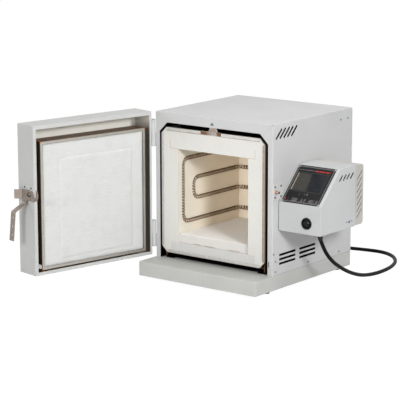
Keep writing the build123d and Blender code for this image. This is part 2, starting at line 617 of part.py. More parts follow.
with BuildPart() as pad_standoffs:
    with BuildSketch(DOOR_FRONT.offset(-TRAY_Y[0])):
        with Locations((CASE_W / 2, sum(TRAY_Z) / 2)), GridLocations(230, 220, 2, 2):
            Circle(7)
    extrude(amount=TRAY_Y[0] - DOOR_RIM + DOOR_T - SHEET)
finish(pad_standoffs, "pad_standoffs")

LIP_BACK = DOOR_RIM - SHEET
with BuildPart() as interlock_tongue:
    with BuildSketch(DOOR_SIDE.offset(TONGUE_X[0])):
        rect((LIP_BACK - 6, TONGUE_END), TONGUE_Z)
    extrude(amount=TONGUE_X[1] - TONGUE_X[0])
    chamfer(
        interlock_tongue.edges().filter_by(Axis(DOOR_SIDE.origin, DOOR_SIDE.z_dir))
        .sort_by(Axis(DOOR_FRONT.origin, DOOR_FRONT.z_dir))[:2], 2,
    )
    with BuildSketch(DOOR_FRONT.offset(-LIP_BACK)):
        rect((TONGUE_X[1], 379), (TONGUE_Z[0] - 2, TONGUE_Z[1] + 2))
    extrude(amount=THIN)
finish(interlock_tongue, "interlock_tongue")

# ---------------------------------------------------------------- latch
BASE_Y, BASE_Z = (-48.0, -3.0), (197.0, 240.0)
with BuildPart() as latch_base:
    with BuildSketch(DOOR_SIDE.offset(CASE_W)):
        with Locations((sum(BASE_Y) / 2, sum(BASE_Z) / 2)):
            RectangleRounded(BASE_Y[1] - BASE_Y[0], BASE_Z[1] - BASE_Z[0], 3)
    extrude(amount=SHEET)
finish(latch_base, "latch_base")

with BuildPart() as latch_rivets:
    with BuildSketch(DOOR_SIDE.offset(CASE_W + SHEET)):
        with Locations((-40, 203.5), (-12, 203.5), (-40, 233), (-12, 233)):
            Circle(RIVET_R)
    extrude(amount=RIVET_H, taper=30)
finish(latch_rivets, "latch_rivets")

with BuildPart() as latch_pivot:
    with BuildSketch(DOOR_SIDE.offset(CASE_W + SHEET)):
        with Locations((PIVOT_Y, PIVOT_Z)):
            Circle(7)
    extrude(amount=LATCH_X - CASE_W - SHEET - 0.3)
    with BuildSketch(DOOR_SIDE.offset(LATCH_X - 1)):
        with Locations((PIVOT_Y, PIVOT_Z)):
            Circle(PIVOT_R)
    extrude(amount=LATCH_T + 2)
    with BuildSketch(DOOR_SIDE.offset(LATCH_X + LATCH_T + 0.3)):
        with Locations((PIVOT_Y, PIVOT_Z)):
            Circle(6.2)
    extrude(amount=3, taper=18)
finish(latch_pivot, "latch_pivot")

HOOK = [
    (-46.0, 196.0), (-46.0, 227.2), (-22.0, 227.2), (-8.0, 226.0), (-0.5, 223.5), (5.0, 219.5), (5.0, 212.8),
    (14.4, 212.8), (14.4, 232.0), (17.5, 232.5), (21.0, 226.5), (23.2, 216.5), (20.5, 208.5), (14.0, 203.6),
    (3.0, 200.0), (-5.0, 199.8), (-24.0, 201.0), (-28.0, 197.0), (-28.0, 190.0), (-46.0, 190.0),
]
STRAP_Y = (-46.0, -28.0)
STRAP_LINE = [(386.5, 196.0), (386.5, 191.5), (421.0, 173.5), (428.0, 100.0)]
TAB_LINE = [(386.5, -41.0), (386.5, -47.0), (401.0, -61.0)]
with BuildPart() as latch_lever:
    with BuildSketch(DOOR_SIDE.offset(LATCH_X)):
        Polygon(*HOOK, align=None)
        with Locations((PIVOT_Y, PIVOT_Z)):
            Circle(PIVOT_R + 0.05, mode=Mode.SUBTRACT)
    extrude(amount=LATCH_T)
    with BuildSketch(DOOR_FRONT.offset(-STRAP_Y[1])):
        with BuildLine():
            FilletPolyline(*STRAP_LINE, radius=5)
        trace(line_width=LATCH_T)
    extrude(amount=STRAP_Y[1] - STRAP_Y[0])
    with BuildSketch(DOOR_TOP.offset(202)):
        with BuildLine():
            FilletPolyline(*TAB_LINE, radius=3)
        trace(line_width=LATCH_T)
    extrude(amount=24)
    with BuildSketch(DOOR_SIDE.offset(420)):
        with Locations(*[(sum(STRAP_Y) / 2, z) for z in (159.0, 136.3, 114.5)]):
            Circle(2.6)
    extrude(amount=12, mode=Mode.SUBTRACT)
finish(latch_lever, "latch_lever")

# ---------------------------------------------------------------- control box
BOX_T = 1.2
FACE_TOP = SLOPE * sqrt(2)
GLAND_X, GLAND_Y = 474.0, 76.0
BOX_OUTLINE = [
    (BOX_Y[0], BOX_Z[0]), (BOX_Y[1], BOX_Z[0]), (BOX_Y[1], BOX_Z[1]), (BOX_Y[0] + SLOPE, BOX_Z[1]),
    (BOX_Y[0], BOX_Z[1] - SLOPE),
]
with BuildPart() as control_box:
    with BuildSketch(SIDE.offset(BOX_X[0])):
        Polygon(*BOX_OUTLINE, align=None)
    extrude(amount=BOX_X[1] - BOX_X[0])
    fillet(control_box.faces().sort_by(Axis.X)[-1].edges().sort_by(Axis.Y)[:-1], BOX_T)
    with BuildSketch(SIDE.offset(BOX_X[0] + BOX_T)):
        Polygon(*BOX_OUTLINE, align=None)
        offset(amount=-BOX_T, kind=Kind.INTERSECTION)
        rect((BOX_Y[1] - 2 * BOX_T, BOX_Y[1]), (BOX_Z[0] + BOX_T, BOX_Z[1] - BOX_T))
    extrude(amount=BOX_X[1] - BOX_X[0] - 2 * BOX_T, mode=Mode.SUBTRACT)
    with BuildSketch(FRONT.offset(-BOX_Y[0])):
        with Locations((SWITCH_X, SWITCH_Z)):
            Circle(13.3)
    extrude(amount=-BOX_T, mode=Mode.SUBTRACT)
    with BuildSketch(FACE):
        rect([SCREEN_X[0] - FIT, SCREEN_X[1] + FIT], [SCREEN_S[0] - FIT, SCREEN_S[1] + FIT])
    extrude(amount=-BOX_T, mode=Mode.SUBTRACT)
    with BuildSketch(TOP.offset(BOX_Z[0])):
        with Locations((GLAND_X, GLAND_Y)):
            Circle(8 + FIT)
    extrude(amount=BOX_T, mode=Mode.SUBTRACT)
    with BuildSketch(SIDE.offset(BOX_X[0])):
        with Locations((BUSH_Y, BUSH_Z)):
            Circle(BUSH_R + FIT)
    extrude(amount=BOX_T, mode=Mode.SUBTRACT)
    with BuildSketch(SIDE.offset(BOX_X[1])):
        with Locations(*[(y + 5.75, 253.5) for y in (108.7, 126.0, 141.6, 158.7)]):
            SlotOverall(18, 2.6, rotation=46)
        with Locations((LOCK_Y, LOCK_Z)):
            Circle(3.05)
    extrude(amount=-BOX_T, mode=Mode.SUBTRACT)
finish(control_box, "control_box")

with BuildPart() as box_spacer:
    with BuildSketch(SIDE.offset(CASE_W)):
        rect((102, 170), (130, 262))
    extrude(amount=BOX_X[0] - CASE_W)
    for radius, mode in ((BUSH_R, Mode.ADD), (BUSH_R - 2.5, Mode.SUBTRACT)):
        with BuildSketch(SIDE.offset(CASE_W - 7)):
            with Locations((BUSH_Y, BUSH_Z)):
                Circle(radius)
        extrude(amount=BOX_X[0] - CASE_W + 14, mode=mode)
finish(box_spacer, "box_spacer")

REAR_Y = BOX_Y[1] + BOX_T
with BuildPart() as box_rear_cover:
    with BuildSketch(FRONT.offset(-REAR_Y)):
        rect(BOX_X, BOX_Z)
    extrude(amount=BOX_T)
    chamfer(box_rear_cover.edges().filter_by(Axis.Y), 3)
finish(box_rear_cover, "box_rear_cover")

SINK_X, SINK_Z, FINS, FIN_PITCH = (402.0, 494.0), (135.0, 262.0), 12, 8.0
with BuildPart() as heat_sink:
    with BuildSketch(TOP.offset(SINK_Z[0])):
        rect(SINK_X, (REAR_Y, REAR_Y + 5))
        with Locations((sum(SINK_X) / 2, REAR_Y + 18)), GridLocations(FIN_PITCH, 1, FINS, 1):
            Rectangle(1.8, 26)
    extrude(amount=SINK_Z[1] - SINK_Z[0])
finish(heat_sink, "heat_sink")

GUARD_R, GUARD_PITCH = 8.0, 16.7
with BuildPart() as heat_sink_guard:
    with BuildSketch(SIDE.offset(BOX_X[0] + 0.5)):
        rect((REAR_Y, GUARD_Y), GUARD_Z)
    extrude(amount=BOX_X[1] - BOX_X[0])
    fillet(heat_sink_guard.edges().filter_by(Axis.X).group_by(Axis.Y)[-1], GUARD_R)
    offset(amount=-BOX_T, openings=heat_sink_guard.faces().sort_by(Axis.Y)[0], kind=Kind.INTERSECTION)
    with BuildSketch(SIDE.offset(BOX_X[1] + 0.5)):
        with Locations((200, 199)), GridLocations(1, GUARD_PITCH, 1, 7):
            Rectangle(30, 1.6, rotation=45)
    extrude(amount=-BOX_T, mode=Mode.SUBTRACT)
    with BuildSketch(FRONT.offset(-GUARD_Y)):
        with Locations((sum(BOX_X) / 2, 199)), GridLocations(44, GUARD_PITCH, 2, 6):
            Rectangle(40, 1.6, rotation=45)
    extrude(amount=BOX_T, mode=Mode.SUBTRACT)
finish(heat_sink_guard, "heat_sink_guard")

with BuildPart() as power_relay:
    with BuildSketch(FRONT.offset(-BOX_Y[1])):
        rect((425, 470), (170, 228))
    extrude(amount=22)
    fillet(power_relay.edges().filter_by(Axis.Z), 2)
    with BuildSketch(FRONT.offset(22 - BOX_Y[1])):
        with Locations((447.5, 199)), GridLocations(26, 46, 2, 2):
            Circle(5)
    extrude(amount=-4, mode=Mode.SUBTRACT)
finish(power_relay, "power_relay")

FASCIA_X, FASCIA_S, FASCIA_T = (388.0, 503.0), (2.4, 119.0), 1.0
FACE_SCREWS = [(x, s) for x in (389.5, 501.5) for s in (4.0, 117.4)]
with BuildPart() as fascia_panel:
    with BuildSketch(FACE):
        rect(FASCIA_X, FASCIA_S)
        with Locations((sum(SCREEN_X) / 2, sum(SCREEN_S) / 2)):
            Rectangle(
                SCREEN_X[1] - SCREEN_X[0] + 2 * FIT, SCREEN_S[1] - SCREEN_S[0] + 2 * FIT, mode=Mode.SUBTRACT
            )
        with Locations(*FACE_SCREWS):
            Circle(4.4, mode=Mode.SUBTRACT)
    extrude(amount=FASCIA_T)
finish(fascia_panel, "fascia_panel")

with BuildPart() as touch_screen:
    with BuildSketch(FACE.offset(-6)):
        rect(SCREEN_X, SCREEN_S)
    extrude(amount=6 + FASCIA_T - 0.2)
finish(touch_screen, "touch_screen")

BOARD = -14.4
with BuildPart() as control_board:
    with BuildSketch(FACE.offset(BOARD)):
        rect((394, 500), (22, 108))
    extrude(amount=-1.6)
    with BuildSketch(FACE.offset(BOARD)):
        with Locations((447, 65)), GridLocations(98, 78, 2, 2):
            Circle(3)
    extrude(amount=-BOARD - BOX_T)
    with BuildSketch(FACE.offset(BOARD)):
        rect((404, 480), (46, 91))
    extrude(amount=-BOARD - 6)
finish(control_board, "control_board")

with BuildPart() as fascia_screws:
    with BuildSketch(FACE):
        with Locations(*FACE_SCREWS):
            Circle(2.6)
    extrude(amount=1.6, taper=25)
finish(fascia_screws, "fascia_screws")

ROCKER_Y, ROCKER_R = 28.0, 10.6
with BuildPart() as switch_body:
    with BuildSketch(FRONT.offset(-BOX_Y[0])):
        with Locations((SWITCH_X, SWITCH_Z)):
            Circle(SWITCH_R)
    extrude(amount=2.4, taper=20)
    with BuildSketch(FRONT.offset(-BOX_Y[0])):
        with Locations((SWITCH_X, SWITCH_Z)):
            Circle(13)
    extrude(amount=-24)
    with BuildSketch(FRONT.offset(2.4 - BOX_Y[0])):
        with Locations((SWITCH_X, SWITCH_Z)):
            Circle(ROCKER_R + 0.4)
    extrude(amount=-18, mode=Mode.SUBTRACT)
finish(switch_body, "switch_body")

rocker_centre = at(SWITCH_X, ROCKER_Y, SWITCH_Z)
with BuildPart() as switch_rocker:
    with Locations(rocker_centre):
        Sphere(ROCKER_R)
    for lean in (-22, 6):
        tilt = Vector(0, -1, 0).rotate(Axis.X, lean)
        split(bisect_by=Plane(origin=rocker_centre + tilt * 8.6, z_dir=tilt), keep=Keep.BOTTOM)
finish(switch_rocker, "switch_rocker")

with BuildPart() as panel_lock:
    with BuildSketch(SIDE.offset(BOX_X[1] + 0.3)):
        with Locations((LOCK_Y, LOCK_Z)):
            Circle(4.2)
    extrude(amount=2, taper=25)
    with BuildSketch(SIDE.offset(BOX_X[1] + 2.3)):
        with Locations((LOCK_Y, LOCK_Z)):
            Rectangle(7, 1.2, rotation=30)
    extrude(amount=-1.1, mode=Mode.SUBTRACT)
    with BuildSketch(SIDE.offset(BOX_X[1] + 0.3)):
        with Locations((LOCK_Y, LOCK_Z)):
            Circle(3)
    extrude(amount=-7)
    with BuildSketch(SIDE.offset(BOX_X[1] - 6.7)):
        with Locations((LOCK_Y, LOCK_Z)):
            SlotOverall(13, 5)
    extrude(amount=1.8)
finish(panel_lock, "panel_lock")

with BuildPart() as lock_receptacle:
    with BuildSketch(SIDE.offset(BOX_X[1] - BOX_T)):
        with Locations(((141.1 + 166.1) / 2, LOCK_Z)):
            SlotOverall(36, 10)
        with Locations((LOCK_Y, LOCK_Z)):
            Circle(3.3, mode=Mode.SUBTRACT)
    extrude(amount=-1.5)
    with BuildSketch(SIDE.offset(BOX_X[1])):
        with Locations((141.1, LOCK_Z), (166.1, LOCK_Z)):
            Circle(1.8)
    extrude(amount=0.9, taper=30)
finish(lock_receptacle, "lock_receptacle")

# ---------------------------------------------------------------- mains lead
CORD_START = at(475, 79.5, 95.5)
ROUTE = [
    (475, 79.5, 95.5), (478, 90, 69), (482, 116, 37.5), (484, 149, 14.5), (484, 194, -9), (482, 244, -27.5),
    (478, 293, -39), (479, 343, -43.3), (478, 392, -43.3), (469, 440, -43.3), (448, 490, -43.3),
    (416, 531, -43.3), (383, 554, -43.3), (349, 563, -43.3), (301, 556, -43.3), (262, 547, -43.3),
    (228, 538, -43.3), (196, 530, -43.3), (168, 526, -43.3),
]
COIL_X, COIL_Y, RING_R, RING_W, RING_H = 150.0, 465.0, 60.0, 22.0, 20.0
TAIL = [
    (89, 452, -43.3), (83.6, 426.6, -43.3), (67.6, 406.1, -41), (44.2, 394.7, -37.2), (18.2, 394.7, -37.2),
]


def bend_radii(points, share=0.45):
    """A bend radius for each corner of a route: the largest whose arc takes no more than a share of
    the shorter run beside it."""
    found = []
    for a, b, c in zip(points, points[1:], points[2:]):
        half = radians((b - a).get_angle(c - b)) / 2
        found.append(share * min((b - a).length, (c - b).length) / tan(half))
    return found


GLAND_EXIT = CORD_START - at(*ROUTE[1])
with BuildPart() as strain_relief:
    with BuildSketch(TOP.offset(BOX_Z[0])):
        with Locations((GLAND_X, GLAND_Y)):
            Circle(8)
    extrude(amount=8)
    with BuildSketch(TOP.offset(BOX_Z[0] - 4)):
        with Locations((GLAND_X, GLAND_Y)):
            RegularPolygon(10.5, 6)
    extrude(amount=4)
    with BuildSketch(TOP.offset(BOX_Z[0] - 4)):
        with Locations((GLAND_X, GLAND_Y)):
            Circle(7.8)
    with BuildSketch(Plane(origin=CORD_START, z_dir=GLAND_EXIT)):
        Circle(5.7)
    loft()
finish(strain_relief, "strain_relief")

with BuildPart() as power_cord:
    for line in (ROUTE, TAIL):
        points = [at(*p) for p in line]
        with BuildLine() as cord_line:
            FilletPolyline(*points, radius=bend_radii(points))
        with BuildSketch(Plane(origin=points[0], z_dir=points[1] - points[0])):
            Circle(CORD_R)
        sweep(path=cord_line.line)
        print("cord length", round(sum(edge.length for edge in cord_line.edges()), 1))
finish(power_cord, "power_cord")

with BuildPart() as cord_coil:
    with BuildSketch(Plane(origin=at(COIL_X, COIL_Y, FLOOR), x_dir=(1, 0, 0), z_dir=(0, -1, 0))):
        with Locations((RING_R, RING_H / 2)):
            RectangleRounded(RING_W, RING_H, 5)
    revolve(axis=Axis(at(COIL_X, COIL_Y, FLOOR), (0, 0, 1)))
finish(cord_coil, "cord_coil")

PLUG = Plane(origin=at(*TAIL[-1]), x_dir=(0, 1, 0), z_dir=(-1, 0, 0))
with BuildPart() as cord_plug:
    with BuildSketch(PLUG):
        Circle(6)
    with BuildSketch(PLUG.offset(16)):
        RectangleRounded(24, 22, 6)
    loft()
    with BuildSketch(PLUG.offset(16)):
        RectangleRounded(24, 22, 6)
    extrude(amount=20)
    with BuildSketch(PLUG.offset(36)):
        with Locations((-6.35, 3), (6.35, 3)):
            Rectangle(1.6, 6.4)
        with Locations((0, -6.5)):
            Circle(2.4)
    extrude(amount=17)
finish(cord_plug, "cord_plug")
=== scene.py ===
"""A bench-top muffle furnace, dressed for rendering.

Measures are in millimetres from the case's front left bottom corner (x right, y back, z up from
the base's top) until place() or swing() turns them into metres in the row frame."""
import math

import bpy
import numpy as np
from mathutils import Matrix, Vector


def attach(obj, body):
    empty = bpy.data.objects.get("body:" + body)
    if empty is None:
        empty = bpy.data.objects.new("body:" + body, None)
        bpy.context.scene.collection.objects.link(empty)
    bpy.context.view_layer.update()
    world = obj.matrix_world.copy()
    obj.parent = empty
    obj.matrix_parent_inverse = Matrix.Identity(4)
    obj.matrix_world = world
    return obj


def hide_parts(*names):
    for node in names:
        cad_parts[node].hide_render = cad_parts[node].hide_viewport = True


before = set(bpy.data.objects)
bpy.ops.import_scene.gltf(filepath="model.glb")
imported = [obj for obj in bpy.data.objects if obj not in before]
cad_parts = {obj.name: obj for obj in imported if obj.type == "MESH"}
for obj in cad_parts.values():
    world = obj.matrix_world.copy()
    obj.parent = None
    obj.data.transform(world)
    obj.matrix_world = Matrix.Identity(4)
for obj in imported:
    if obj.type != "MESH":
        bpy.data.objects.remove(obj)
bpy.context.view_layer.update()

BENCH = -48.3                                       # the bench's level
ORIGIN = np.array([-179.8415, 28.8983, -BENCH])     # the case's corner in the row frame
CASE_W, CASE_D, CASE_H = 381, 364, 393              # the case's outer planes
BOX_LOW, BOX_HIGH = (383, 25, 118), (511.5, 180.5, 278)     # the control box's
DOOR_FOOT, DOOR_HEAD, DOOR_DEEP = 5.1, 392.7, 70.9  # the shut door's
WALL_L, WALL_R, BACK = 76.2, 304.8, 267             # the chamber's walls
HINGE = np.array([-6.2, -1.6])                      # the door's hinge line, in the case's plan
DOOR_OPEN = math.radians(102)
COS, SIN = math.cos(DOOR_OPEN), math.sin(DOOR_OPEN)
TURN = np.array([[COS, SIN], [-SIN, COS]])


def place(points):
    """Case measures to metres in the row frame: shift by the corner, then divide by a thousand."""
    return (np.asarray(points, float) + ORIGIN) / 1000


def swing(points):
    """Measures of the shut door to the row frame: a turn about its hinge line by the open angle."""
    out = np.array(points, float)
    out[..., :2] = (out[..., :2] - HINGE) @ TURN.T + HINGE
    return place(out)


# ------------------------------------------------------------------ camera
SENSOR = 36
PICTURE_W, FOCAL = 400, 1826.82                     # both in pixels
CAMERA_SPOT = (3014.34, -3693.13, 1134.93)
CAMERA_AXES = (                                     # its right, up and back, one to a column
    (0.790235, -0.122174, 0.600502),
    (0.612801, 0.160712, -0.773723),
    (-0.001979, 0.979411, 0.201869),
)

camera = bpy.data.objects.new("camera", bpy.data.cameras.new("camera"))
bpy.context.scene.collection.objects.link(camera)
camera.data.sensor_width = SENSOR
camera.data.lens = SENSOR * FOCAL / PICTURE_W
camera.data.clip_end = 50
camera.matrix_world = Matrix.Translation(Vector(place(CAMERA_SPOT))) @ Matrix(CAMERA_AXES).to_4x4()
bpy.context.scene.camera = camera
bpy.context.scene.view_settings.view_transform = "Standard"


def tone(red, green, blue):
    """A colour given as it looks, from 0 to 255, as the shader wants it."""
    return tuple((c / 255) ** 2.2 for c in (red, green, blue))


def scaled(colour, share):
    """A colour with all its parts made darker or lighter alike."""
    return tuple(c * share for c in colour)


# ------------------------------------------------------------------ shader maths
class Value:
    """A number that varies over a surface. Arithmetic on it adds Math nodes to its net."""

    def __init__(self, net, socket):
        self.net, self.socket = net, socket

    def _math(self, operation, *terms):
        return self.net.add("ShaderNodeMath", {"operation": operation}, dict(enumerate(terms)))

    def __add__(self, other): return self._math("ADD", self, other)
    __radd__ = __add__
    def __sub__(self, other): return self._math("SUBTRACT", self, other)
    def __rsub__(self, other): return self._math("SUBTRACT", other, self)
    def __mul__(self, other): return self._math("MULTIPLY", self, other)
    __rmul__ = __mul__
    def __abs__(self): return self._math("ABSOLUTE", self)
    def lower(self, other): return self._math("MINIMUM", self, other)
    def higher(self, other): return self._math("MAXIMUM", self, other)

    def rise(self, low, high):
        """0 below low, 1 above high and a smooth step between them; high may be the smaller."""
        if high < low:
            return 1 - self.rise(high, low)
        return self.net.add("ShaderNodeMapRange", {"interpolation_type": "SMOOTHSTEP"},
                            {"Value": self, "From Min": low, "From Max": high})

    def between(self, low, high, soft):
        """1 between low and high, falling to 0 over a width of soft outside them."""
        return self.rise(low - soft, low) * self.rise(high + soft, high)

    def inset(self, low, high):
        """How far it is in from the nearer of low and high, negative outside them."""
        return (self - low).lower(high - self)


class Net:
    """The nodes of a material or of the world."""

    def __init__(self, tree):
        self.tree = tree

    def add(self, kind, settings=None, inputs=None, output=0):
        """Any node: its settings come first, then the numbers, colours or links of its sockets."""
        node = self.tree.nodes.new(kind)
        for key, value in (settings or {}).items():
            setattr(node, key, value)
        for key, value in (inputs or {}).items():
            self.feed(node.inputs[key], value)
        return Value(self, node.outputs[output])

    def feed(self, socket, value):
        """Links a value to a socket, or sets its number, vector or colour."""
        if isinstance(value, Value):
            self.tree.links.new(value.socket, socket)
        elif isinstance(value, tuple) and len(value) == 3 and len(socket.default_value) == 4:
            socket.default_value = (*value, 1)
        else:
            socket.default_value = value

    def ray(self, kind):
        """1 for a ray of this kind, as Light Path names it."""
        return self.add("ShaderNodeLightPath", output=kind)


class Finish(Net):
    """One material's nodes, with its shader ready to be fed. What is the same all over the surface
    is given by its socket's name and set on the shader itself."""

    def __init__(self, name, **fixed):
        self.material = bpy.data.materials.new(name)
        self.material.use_nodes = True
        super().__init__(self.material.node_tree)
        self.shader = self.tree.nodes["Principled BSDF"]
        for key, value in fixed.items():
            socket = key.replace("_", " ").title().replace("Ior", "IOR")
            self.shader.inputs[socket].default_value = value

    def millimetres(self, door=False):
        """Object coordinates in millimetres from the case's corner. On the door they are turned
        back about the hinge line, as if it were shut."""
        shift, angle = -ORIGIN, 0.0
        if door:
            angle = DOOR_OPEN
            turned = TURN.T @ (HINGE + ORIGIN[:2])
            shift = np.array([*(HINGE - turned), -ORIGIN[2]])
        metres = self.add("ShaderNodeTexCoord", output="Object")
        return self.add("ShaderNodeMapping", {}, {
            "Vector": metres, "Location": tuple(shift), "Rotation": (0, 0, angle),
            "Scale": (1000, 1000, 1000)})

    def xyz(self, vector):
        """The three parts of a vector."""
        split = self.add("ShaderNodeSeparateXYZ", {}, {"Vector": vector})
        return [Value(self, out) for out in split.socket.node.outputs]

    def noise(self, vector, size, detail=3.0, rough=0.5, stretch=None):
        """Noise from 0 to 1 whose lumps are about size millimetres across. A stretch below 1 makes
        them longer along that axis."""
        if stretch:
            vector = self.add("ShaderNodeMapping", {}, {"Vector": vector, "Scale": stretch})
        return self.add("ShaderNodeTexNoise", {}, {
            "Vector": vector, "Scale": 1 / size, "Detail": detail, "Roughness": rough})

    def cells(self, vector, size):
        """Distance from the nearest of many scattered points about size millimetres apart."""
        return self.add("ShaderNodeTexVoronoi", {}, {"Vector": vector, "Scale": 1 / size})

    def blend(self, amount, first, second):
        """first where amount is 0, second where it is 1."""
        return self.add("ShaderNodeMix", {"data_type": "RGBA"}, {
            "Factor": amount, 6: first, 7: second}, output=2)

    def shade(self, colour, rough, height=None, depth=0.1):
        """Feeds the shader and gives the material. A height of 1 stands depth millimetres proud."""
        self.feed(self.shader.inputs["Base Color"], colour)
        self.feed(self.shader.inputs["Roughness"], rough)
        if height is not None:
            bump = self.add("ShaderNodeBump", {}, {"Height": height, "Distance": depth / 1000})
            self.feed(self.shader.inputs["Normal"], bump)
        return self.material


# ------------------------------------------------------------------ finishes
CASE_SLOTS = [(y, 366.2) for y in (26, 42.5, 59.6, 75.8, 93)]       # slots by their middles (y, z)
BOX_SLOTS = [(y, 253.5) for y in (114.45, 131.75, 147.35, 164.45)]
GUARD_SLOTS = [(200, 199 + 16.7 * k) for k in range(-3, 4)]
SLOT_RUN, SLOT_CLIMB = 0.72, 0.69                   # the way that all slanted slots lean
VENT_ROWS, VENT_RUNS = (28, 39.5, 51), ((30.4, 102.6), (120.9, 193.6))
SLOPE_RISE, SLOPE_FOOT = 167, 217                   # the box's slope: its z - y, and y + z at its foot
DIAGONAL = math.sqrt(0.5)


def slanted(y, z, spots, length, width):
    """1 within slanted slots round the spots (y, z): for each, a step on the distance across it
    times one on the distance along it, all added up."""
    found = 0
    for spot_y, spot_z in spots:
        dy, dz = y - spot_y, z - spot_z
        across = abs(dy * SLOT_CLIMB - dz * SLOT_RUN) - width / 2
        along = abs(dy * SLOT_RUN + dz * SLOT_CLIMB) - length / 2
        found += across.rise(0.25, -0.1) * along.rise(0.3, 0)
    return found


def case_shade(x, y, z):
    """1 where painted shade goes on the case: on its hidden faces, by depth in from its outer planes,
    and round its slots and vents, a little wider than the cut ones.
    """
    depth = x.inset(0, CASE_W).lower(y.inset(0, CASE_D)).lower(CASE_H - z)
    slots = slanted(y, z, CASE_SLOTS, 35.0, 5.6)
    low, middle, high = (abs(z - row) for row in VENT_ROWS)
    first, second = (y.between(*run, 0.3) for run in VENT_RUNS)
    vents = low.lower(middle).lower(high).rise(3.2, 2.95) * first.higher(second)
    return depth.rise(0.62, 0.78) + slots + vents


def box_shade(x, y, z):
    """1 where painted shade goes on the control box: inside it, by depth in from its planes and its
    slope, and round its slots, a little wider than the cut ones.
    """
    across, deep, tall = (v.inset(*ends) for v, ends in zip((x, y, z), zip(BOX_LOW, BOX_HIGH)))
    depth = across.lower(deep).lower(tall).lower((y - z + SLOPE_RISE) * DIAGONAL)
    return depth.rise(0.42, 0.6) + slanted(y, z, BOX_SLOTS, 19.2, 4.3) * x.rise(509, 510)


def case_folds(x, y, z):
    """Hairlines on the case: the mitres in its front's two top corners, a joint in its right
    flange and the joint that its sides make with the base."""
    side, down = x.inset(0, CASE_W), CASE_H - z
    mitre = abs(side - down).rise(0.7, 0.25) * down.between(1.5, 17, 1)
    joint = abs(z - 226).rise(0.7, 0.2) * x.between(371.5, 379, 0.5)
    foot = z.rise(1.5, 0.8) * side.rise(0.5, 0.3) * y.rise(3, 6)
    return (mitre + joint) * y.rise(1.0, 0.6) * 0.35 + foot * 0.45


def door_inside(x, y, z):
    """1 on the walls and back of the door's recess, by depth in from its outer planes and rim. There
    the door is painted paler, as painted light, and the painted shade on the recess's side walls
    builds on this mask.
    """
    depth = x.inset(0, CASE_W).lower(z.inset(DOOR_FOOT, DOOR_HEAD)).lower(y + DOOR_DEEP)
    return depth.rise(1.0, 1.35) * y.rise(-2, -3.5)


def door_recess_shade(x, y, z):
    """Painted shade, dark brown, on the side walls of the door's recess: all the way up on the latch's
    side, and from below the top corner down on the hinges' side."""
    walls = (CASE_W - x).rise(24, 8) * 0.92 + x.rise(24, 8) * z.rise(388, 345) * 0.75
    return door_inside(x, y, z) * walls


def base_shade(x, y, z):
    """1 on the base's top, behind the case's front and within its walls: painted shade, where the base
    lies in shade under the case.
    """
    within = x.inset(0, CASE_W).rise(1.5, 3.5) * y.rise(14, 24) * y.rise(362.5, 361)
    return within * z.rise(-2.5, -1.5)


def guard_slot_shade(x, y, z):
    """Painted shade in dark slanted lines, one to each of the guard's slots, on its outer side, a
    little wider than the cut slots.
    """
    return slanted(y, z, GUARD_SLOTS, 31, 2.6) * x.rise(508, 509) * 0.75


def powder_coat(name, colour, door=False, layers=()):
    """Fine orange-peel paint: two small noises for the skin and two broad ones for tone. Each
    layer is a mask and the colour that shows where the mask is 1."""
    net = Finish(name, specular_ior_level=0.22)
    mm = net.millimetres(door)
    x, y, z = net.xyz(mm)
    skin = net.noise(mm, 1.1, 2) * 0.6 + net.noise(mm, 3.5, 2) * 0.4
    broad = net.noise(mm, 90, 2, 0.4)
    spread = net.noise(mm, 14, 4, 0.6)
    coat = net.blend(broad.rise(0.35, 0.7) * 0.6 + spread * 0.3, colour, scaled(colour, 0.93))
    for mask, under in layers:
        coat = net.blend(mask(x, y, z).lower(1), coat, under)
    return net.shade(coat, 0.42 + 0.14 * spread, height=skin, depth=0.05)


def seams(x, y, z):
    """Hairlines on the muffle's front, where slab, side bricks and sill board meet."""
    middle, half, foot, head = 188.5, 137.5, 299.5, 320.5
    over = abs(z - head).rise(0.9, 0.2) * x.between(50, 327, 1) * (1 - x.between(52, 325, 0.5))
    ends = abs(abs(x - middle) - half).rise(0.9, 0.2) * z.between(foot, head, 0.4)
    under = abs(z - foot).rise(0.8, 0.2) * x.between(51, 326, 0.5) * (1 - x.between(77, 304, 0.5))
    return (over + ends + under) * y.rise(-0.4, -0.9)


def firebrick(name, pale, stain, tan=None, top=None):
    """Chalky insulating brick: pores from two sizes of cells, crumbly grain and faint stains by
    noise. tan gives the chamber's own walls a near and a deep colour, the deep one paler as painted
    light where less lamp light reaches, and draws the seams on the front. top is the colour of the
    hearth's upper face, paler than its front as painted light, and its foot then goes brown in
    patches."""
    net = Finish(name, specular_ior_level=0.15)
    mm = net.millimetres()
    x, y, z = net.xyz(mm)
    pores = net.cells(mm, 1.6).rise(0.10, 0.32)
    pits = net.cells(mm, 5.5).rise(0.05, 0.16)
    grain = net.noise(mm, 0.8, 4, 0.7)
    patch = net.noise(mm, 38, 3, 0.6)
    colour = net.blend(patch.rise(0.5, 0.85) * 0.45, pale, stain)
    if top:
        # painted light: the hearth's upper face is paler than its front
        colour = net.blend(z.rise(69.8, 70.3), colour, top)
        foot = z.rise(50.5, 48.0) * patch.rise(0.45, 0.6)
        colour = net.blend(foot * 0.8, colour, tone(150, 118, 88))
    if tan:
        near, deep = tan
        # painted light: the walls are paler deep in the chamber, where less lamp light reaches
        colour = net.blend(y.rise(-0.6, 1.5), colour, net.blend(y.rise(25, 150), near, deep))
        colour = net.blend((seams(x, y, z) * 0.75).lower(1), colour, tone(172, 138, 96))
    colour = net.blend((1 - pores) * 0.10 + (1 - pits) * 0.12, colour, scaled(stain, 0.62))
    return net.shade(colour, 0.92, height=pores * 0.5 + pits * 0.7 + grain * 0.35, depth=0.28)


